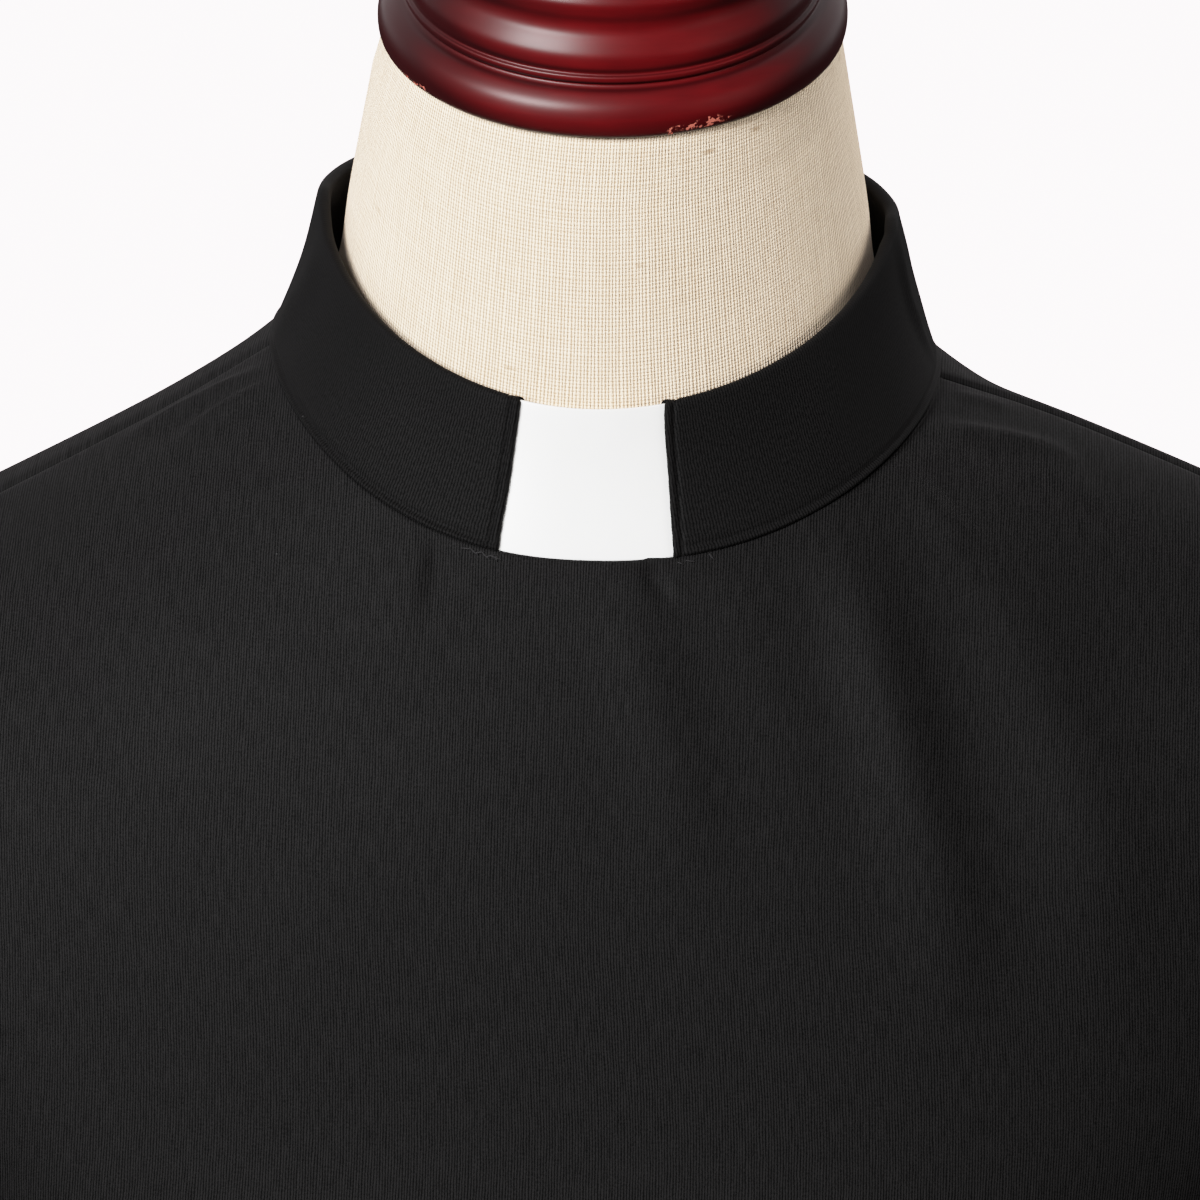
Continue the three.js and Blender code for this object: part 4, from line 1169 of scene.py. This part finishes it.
# %% [markdown]
# Each material is one Principled shader. Numbers that are the same all over are set on it
# directly, and whatever changes over the surface comes from the groups.
# %% Tools for materials
def new_material(name, **fixed):
    material = bpy.data.materials.new(name)
    material.use_nodes = True
    graph = Graph(material.node_tree)
    shader = material.node_tree.nodes["Principled BSDF"]
    for label, value in fixed.items():
        shader.inputs[label.replace("_", " ")].default_value = value
    return material, graph, shader


def cloth_place(graph):
    return graph.node("ShaderNodeUVMap", {"uv_map": "cloth"}).outputs[0]


def object_place(graph):
    return graph.node("ShaderNodeTexCoord").outputs["Object"]


def bump(graph, shader, height, depth, strength=1.0):
    """Lets a height from 0 to 1 stand for so many millimetres of relief."""
    node = graph.node("ShaderNodeBump", Height=height, Strength=strength, Distance=depth * MM)
    graph.feed(shader, "Normal", node.outputs[0])


# %% [markdown]
# The dress is black polyester crêpe. It is matt, with a faint dry sheen at grazing light,
# and each streak of its grain catches a little light. The collar is the same cloth over a
# stiff interlining, which presses the grain flat and shortens it. Its colour is painted
# about a third darker than the dress's, as painted shade.
# %% Black crêpe
BLACK_DEEP = (0.0006, 0.0006, 0.0006, 1)
DRESS_LIT = (0.0088, 0.0084, 0.0086, 1)
# the collar's copy of the lit colour, painted about a third darker as painted shade
COLLAR_LIT_WITH_PAINTED_SHADE = (0.0060, 0.0057, 0.0058, 1)
LINT_GREY = (0.04, 0.04, 0.041, 1)
CREPE_RELIEF = 0.05


def crepe_material(name, lit, nap, width, length, lint_size):
    """Crêpe with threads so wide and streaks so long, in metres."""
    material, graph, shader = new_material(
        name, Specular_IOR_Level=0.03, Sheen_Weight=nap, Sheen_Roughness=0.4
    )
    place = cloth_place(graph)
    grain = graph.use(crepe_grain, place, Thread=width, Streak=length)
    soft = graph.use(blotches, place, Size=0.035)["Mask"]
    fluff = graph.use(lint, place, Spacing=0.011, Size=lint_size)["Mask"]
    colour = graph.mixed(grain["Shade"], BLACK_DEEP, lit)
    graph.feed(shader, "Base Color", graph.mixed(fluff, colour, LINT_GREY))
    rough = graph.ramp(grain["Shade"], 0, 1, 0.72, 0.6, smooth=False)
    graph.feed(shader, "Roughness", graph.times(soft, 0.05, rough))
    bump(graph, shader, grain["Height"], CREPE_RELIEF)
    return material


dress_crepe = crepe_material(
    "dress crepe", DRESS_LIT, nap=0.002, width=0.00060, length=0.005, lint_size=0.03
)
collar_crepe = crepe_material(
    "collar crepe", COLLAR_LIT_WITH_PAINTED_SHADE, nap=0.009, width=0.00064, length=0.0009, lint_size=0.04
)

# %% [markdown]
# The sewing thread is black and a little shinier than the cloth, and twisted, so a fine
# slanted wave runs over it.
# %% Black thread
thread, graph, shader = new_material("thread", Specular_IOR_Level=0.08)
wave = graph.node("ShaderNodeTexWave", {"bands_direction": "DIAGONAL"},
                  Vector=object_place(graph), Scale=1500.0)
twist = share_of(wave)
THREAD_DARK = (0.003, 0.003, 0.003, 1)
THREAD_LIT = (0.018, 0.017, 0.018, 1)
graph.feed(shader, "Base Color", graph.mixed(twist, THREAD_DARK, THREAD_LIT))
fuzz = graph.noise(object_place(graph), 900.0)
graph.feed(shader, "Roughness", graph.ramp(fuzz, 0, 1, 0.5, 0.7))

# %% [markdown]
# The form's cover is undyed linen in plain weave, about 0.75 mm from thread to thread.
# Cream yarns lie beside darker, flaxy ones and slubs run across. Where the weave is low,
# between the threads, the colour is painted dark brown as painted shade.
# %% Linen
LINEN_LIGHT = (0.98, 0.80, 0.61, 1)
LINEN_FLAX = (0.78, 0.59, 0.41, 1)
LINEN_GAP_SHADE = (0.36, 0.21, 0.10, 1)
LINEN_FLECK = (0.30, 0.17, 0.08, 1)
linen, graph, shader = new_material(
    "linen", Specular_IOR_Level=0.15, Sheen_Weight=0.12, Sheen_Roughness=0.6
)
place = cloth_place(graph)
weave = graph.use(plain_weave, place, Pitch=0.00075, Unevenness=0.45)
soft = graph.use(blotches, place, Size=0.018)["Mask"]
yarn = graph.mixed(graph.ramp(weave["Shade"], -0.7, 0.9), LINEN_FLAX, LINEN_LIGHT)
yarn = graph.mixed(graph.times(weave["Slub"], 0.45), yarn, LINEN_FLAX)
yarn = graph.mixed(graph.times(soft, 0.18), yarn, LINEN_LIGHT)
drawn_out = graph.scaled(place, 0.35, 1.2, 1.0)
flecks = graph.use(lint, drawn_out, Spacing=0.005, Size=0.36)["Mask"]
yarn = graph.mixed(graph.times(flecks, 0.7), yarn, LINEN_FLECK)
# painted shade: where the weave's height is low, between the threads, the colour turns dark brown
gap_shade = graph.ramp(weave["Height"], 0.62, 0.20)
graph.feed(shader, "Base Color", graph.mixed(graph.times(gap_shade, 0.8), yarn, LINEN_GAP_SHADE))
graph.feed(shader, "Roughness", graph.ramp(weave["Height"], 0, 1, 0.95, 0.78))
bump(graph, shader, weave["Height"], 0.32)

# %% [markdown]
# The wood is dark mahogany red under a thick glossy lacquer. The colour is deeper in broad
# clouds, and painted darker as painted shade where the surface turns away from the view.
# Where the cap was knocked, the lacquer is gone and pale red wood shows in small sharp chips.
# %% Lacquered wood
LACQUER_DEEP = (0.014, 0.0006, 0.0010, 1)
LACQUER_RED = (0.112, 0.0012, 0.0022, 1)
BARE_WOOD = (0.62, 0.14, 0.10, 1)
lacquer, graph, shader = new_material(
    "lacquered wood", Specular_IOR_Level=0.1, Coat_Roughness=0.34, Coat_IOR=1.4
)
place = object_place(graph)
clouds = graph.use(blotches, place, Size=0.016)["Mask"]
figure = graph.noise(graph.scaled(place, 1.0, 1.0, 9.0), 60.0, 4.0, 0.6)
figure = graph.ramp(figure, 0.35, 0.7)
tone = graph.times(figure, 0.15, graph.times(clouds, 0.2, 0.45))
exposure = graph.node("ShaderNodeAttribute", {"attribute_name": "exposed"}).outputs[2]
flakes = graph.ramp(graph.noise(place, 620.0, 3.0, 0.65), 0.53, 0.57)
chips = graph.times(graph.ramp(exposure, 0.25, 0.6), flakes)
# painted shade: the red is drawn towards the deep tone where the surface turns away from the view
turned = graph.node("ShaderNodeLayerWeight", Blend=0.5).outputs["Facing"]
tone = graph.times(tone, graph.ramp(turned, 0.42, 0.0))
stain = graph.mixed(tone, LACQUER_DEEP, LACQUER_RED)
graph.feed(shader, "Base Color", graph.mixed(chips, stain, BARE_WOOD))
graph.feed(shader, "Coat Weight", graph.times(chips, -0.48, 0.48))
haze = graph.ramp(graph.noise(place, 45.0, 3.0, 0.5), 0.3, 0.7, 0.34, 0.44)
graph.feed(shader, "Roughness", graph.times(chips, 0.5, haze))
relief = graph.times(chips, -1.0, graph.times(figure, 0.05))
bump(graph, shader, relief, 0.12)

# %% [markdown]
# The tab is bright white semi-matt plastic. It has the faintest cloudiness from moulding
# and fine rubbed streaks along its length, which only show in the gloss.
# %% White plastic
PLASTIC_GREYER = (0.79, 0.79, 0.785, 1)
PLASTIC_WHITE = (0.82, 0.82, 0.817, 1)
white_plastic, graph, shader = new_material("white plastic", Specular_IOR_Level=0.45)
place = cloth_place(graph)
clouds = graph.use(blotches, place, Size=0.02)["Mask"]
rubbed = graph.noise(graph.scaled(place, 0.12, 1.0, 1.0), 2600.0, 2.0, 0.5)
graph.feed(shader, "Base Color", graph.mixed(clouds, PLASTIC_GREYER, PLASTIC_WHITE))
graph.feed(shader, "Roughness", graph.times(rubbed, 0.12, 0.26))
bump(graph, shader, rubbed, 0.004)

# %% [markdown]
# The slider and pull are black-enamelled zinc. Rubbed edges and fine scratches let the
# metal shine through. The zip's tape is a narrow plain weave in black.
# %% Zip metal and tape
ENAMEL = (0.030, 0.030, 0.033, 1)
RUBBED_METAL = (0.22, 0.22, 0.23, 1)
TAPE_DARK = (0.004, 0.004, 0.0045, 1)
TAPE_LIT = (0.014, 0.014, 0.015, 1)
zip_metal, graph, shader = new_material("zip metal", Metallic=1.0)
place = object_place(graph)
scratches = graph.noise(graph.scaled(place, 1.0, 1.0, 0.08), 2400.0, 2.0, 0.6)
rubbed = graph.ramp(scratches, 0.6, 0.72)
graph.feed(shader, "Base Color", graph.mixed(rubbed, ENAMEL, RUBBED_METAL))
graph.feed(shader, "Roughness", graph.ramp(scratches, 0.2, 0.8, 0.5, 0.3))
bump(graph, shader, scratches, 0.02)

tape_weave, graph, shader = new_material("tape weave", Specular_IOR_Level=0.25)
weave = graph.use(plain_weave, object_place(graph), Pitch=0.0005, Unevenness=0.1)
graph.feed(shader, "Base Color", graph.mixed(weave["Height"], TAPE_DARK, TAPE_LIT))
graph.feed(shader, "Roughness", graph.ramp(weave["Height"], 0, 1, 0.85, 0.68))
bump(graph, shader, weave["Height"], 0.08)

# %% [markdown]
# Every piece now gets its finish and the body it moves with, and the CAD node that it
# stands for is hidden.
# %% Dress the frame
DRESSED = [
    (front_cloth, "dress_front", "black_cloth", dress_crepe),
    (back_cloths[0], "dress_back_left", "black_cloth", dress_crepe),
    (back_cloths[1], "dress_back_right", "black_cloth", dress_crepe),
    (sleeve_cloths[0], "sleeve_left", "black_cloth", dress_crepe),
    (sleeve_cloths[1], "sleeve_right", "black_cloth", dress_crepe),
    (collar_bands[0], "collar_left", "black_cloth", collar_crepe),
    (collar_bands[1], "collar_right", "black_cloth", collar_crepe),
    (white_tab, "collar_tab", "white_tab", white_plastic),
    (form_cover, "form_torso", "linen_cover", linen),
    (form_cap, "form_cap", "lacquered_wood", lacquer),
    (form_pole, "form_pole", "lacquered_wood", lacquer),
    (form_base, "form_base", "lacquered_wood", lacquer),
    (slider, "zip_slider", "zip_metal", zip_metal),
    (pull, "zip_pull", "zip_metal", zip_metal),
]


def finish(piece, material):
    piece.data.materials.clear()
    piece.data.materials.append(material)


for piece, node, slot, material in DRESSED:
    finish(piece, material)
    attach(piece, PULL_BODY if piece is pull else DRESS_BODY)
    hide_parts(node)
for row in thread_rows:
    finish(row, thread)
    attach(row, DRESS_BODY)
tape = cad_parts["zip_tape"]
for slot in tape.material_slots:
    slot.material = tape_weave
print(len(DRESSED), "nodes dressed")

# %% [markdown]
# The picture is a close view: the camera stands in front, a little to the wearer's left,
# looks down on the collar, and is turned by less than a degree. Its long lens keeps the
# collar's ellipse flat, as in the photograph. The floor is wide and pale, so that it fills
# the whole background.
# %% Camera, floor and light
LOOK_AT = Vector((3.2, -72, 1355)) * MM
CAMERA_AZIMUTH = math.radians(3.1)
CAMERA_HEIGHT = math.radians(20)
CAMERA_ROLL = math.radians(0.7)
CAMERA_DISTANCE = 1.5
CAMERA_LENS = 219.5
away = math.cos(CAMERA_HEIGHT)
back = Vector((
    math.sin(CAMERA_AZIMUTH) * away, -math.cos(CAMERA_AZIMUTH) * away, math.sin(CAMERA_HEIGHT)
))
level_right = Vector((0, 0, 1)).cross(back).normalized()
level_up = back.cross(level_right)
right = level_right * math.cos(CAMERA_ROLL) + level_up * math.sin(CAMERA_ROLL)
up = level_up * math.cos(CAMERA_ROLL) - level_right * math.sin(CAMERA_ROLL)
bpy.ops.object.camera_add()
camera = bpy.context.object
camera.matrix_world = Matrix.Translation(LOOK_AT + back * CAMERA_DISTANCE) @ Matrix(
    (right, up, back)
).transposed().to_4x4()
camera.data.sensor_width = 36
camera.data.lens = CAMERA_LENS
camera.data.clip_start = 0.05
camera.data.clip_end = 200
bpy.context.scene.camera = camera

FLOOR_SIZE = 60
FLOOR_GLOW = 3.25  # seen by the camera only
PAPER_SEEN = [(0.25, 0.247, 0.247, 1), (0.27, 0.266, 0.267, 1)]
PAPER_GLOW = [(0.99, 0.88, 0.91, 1), (1, 0.89, 0.92, 1)]
PAPER_UNSEEN = (0.03, 0.0298, 0.0295, 1)
bpy.ops.mesh.primitive_plane_add(size=FLOOR_SIZE, location=(0, 0, 0))
floor = bpy.context.object
floor.name = "floor"
paper, graph, shader = new_material("paper", Specular_IOR_Level=0.1, Roughness=0.95)
seen = graph.node("ShaderNodeLightPath").outputs["Is Camera Ray"]
graph.feed(shader, "Emission Strength", graph.times(seen, FLOOR_GLOW))
fibres = graph.noise(object_place(graph), 700.0, 3.0, 0.6)
cloudy = graph.use(blotches, object_place(graph), Size=0.6)["Mask"]
tone = graph.times(fibres, 0.3, graph.times(cloudy, 0.7))
pale = graph.mixed(tone, *PAPER_SEEN)
graph.feed(shader, "Base Color", graph.mixed(seen, PAPER_UNSEEN, pale))
graph.feed(shader, "Emission Color", graph.mixed(tone, *PAPER_GLOW))
floor.data.materials.append(paper)


WHITE = (1, 1, 1)
# square soft boxes that point at the collar: place and size in metres, power, colour
LIGHTS = [
    ("key", (-1.25, -1.75, 2.6), 1.1, 182, WHITE),
    ("fill", (2.1, -1.3, 2.0), 1.3, 35, (1, 0.96, 0.90)),
    ("top", (0.1, 0.9, 3.3), 1.4, 16, WHITE),
    ("rim left", (2.2, 1.5, 1.9), 1.5, 48, WHITE),
    ("rim right", (-2.3, 1.3, 1.8), 1.5, 45, WHITE),
    ("back", (0.9, 2.6, 2.4), 1.5, 60, WHITE),
]
for name, place, size, power, colour in LIGHTS:
    bpy.ops.object.light_add(type="AREA", location=place)
    light = bpy.context.object
    light.name = name
    light.data.size = size
    light.data.energy = power
    light.data.color = colour
    light.rotation_mode = "QUATERNION"
    light.rotation_quaternion = (LOOK_AT - Vector(place)).to_track_quat("-Z", "Y")
    light.visible_camera = False
    light.visible_glossy = name == "key"

BACKDROP_GLOW = 3.1  # seen by the camera only
BACKDROP_LIGHT = (0.13, 1.1)  # in front of the dress and behind it
world = bpy.data.worlds.new("studio")
bpy.context.scene.world = world
world.use_nodes = True
graph = Graph(world.node_tree)
air = world.node_tree.nodes["Background"]
seen = graph.node("ShaderNodeLightPath").outputs["Is Camera Ray"]
towards = graph.node("ShaderNodeTexCoord").outputs["Generated"]
behind = graph.node("ShaderNodeSeparateXYZ", Vector=towards).outputs["Y"]
backdrop = graph.ramp(behind, 0.0, 0.8, *BACKDROP_LIGHT)
graph.feed(air, "Strength", graph.times(seen, BACKDROP_GLOW, backdrop))
graph.feed(air, "Color", (1.0, 0.94, 0.955, 1))

# %% [markdown]
# A camera does not record light in proportion: bright tones are pressed together, so that
# white plastic, pale linen and black cloth keep their detail in one picture. The tone
# curve 1 - exp(-light) does the same here.
# %% Tone curve
BRIGHTEST = 4.0
CURVE_AT = (0.015, 0.035, 0.07, 0.12, 0.18, 0.26, 0.36, 0.48, 0.62, 0.8)
view = bpy.context.scene.view_settings
view.view_transform = "Standard"
view.use_curve_mapping = True
tones = view.curve_mapping
tones.white_level = (BRIGHTEST, BRIGHTEST, BRIGHTEST)
tone_line = tones.curves[3]
for share in CURVE_AT:
    tone_line.points.new(share, 1 - math.exp(-BRIGHTEST * share))
tone_line.points[-1].location = (1, 1 - math.exp(-BRIGHTEST))
tones.update()
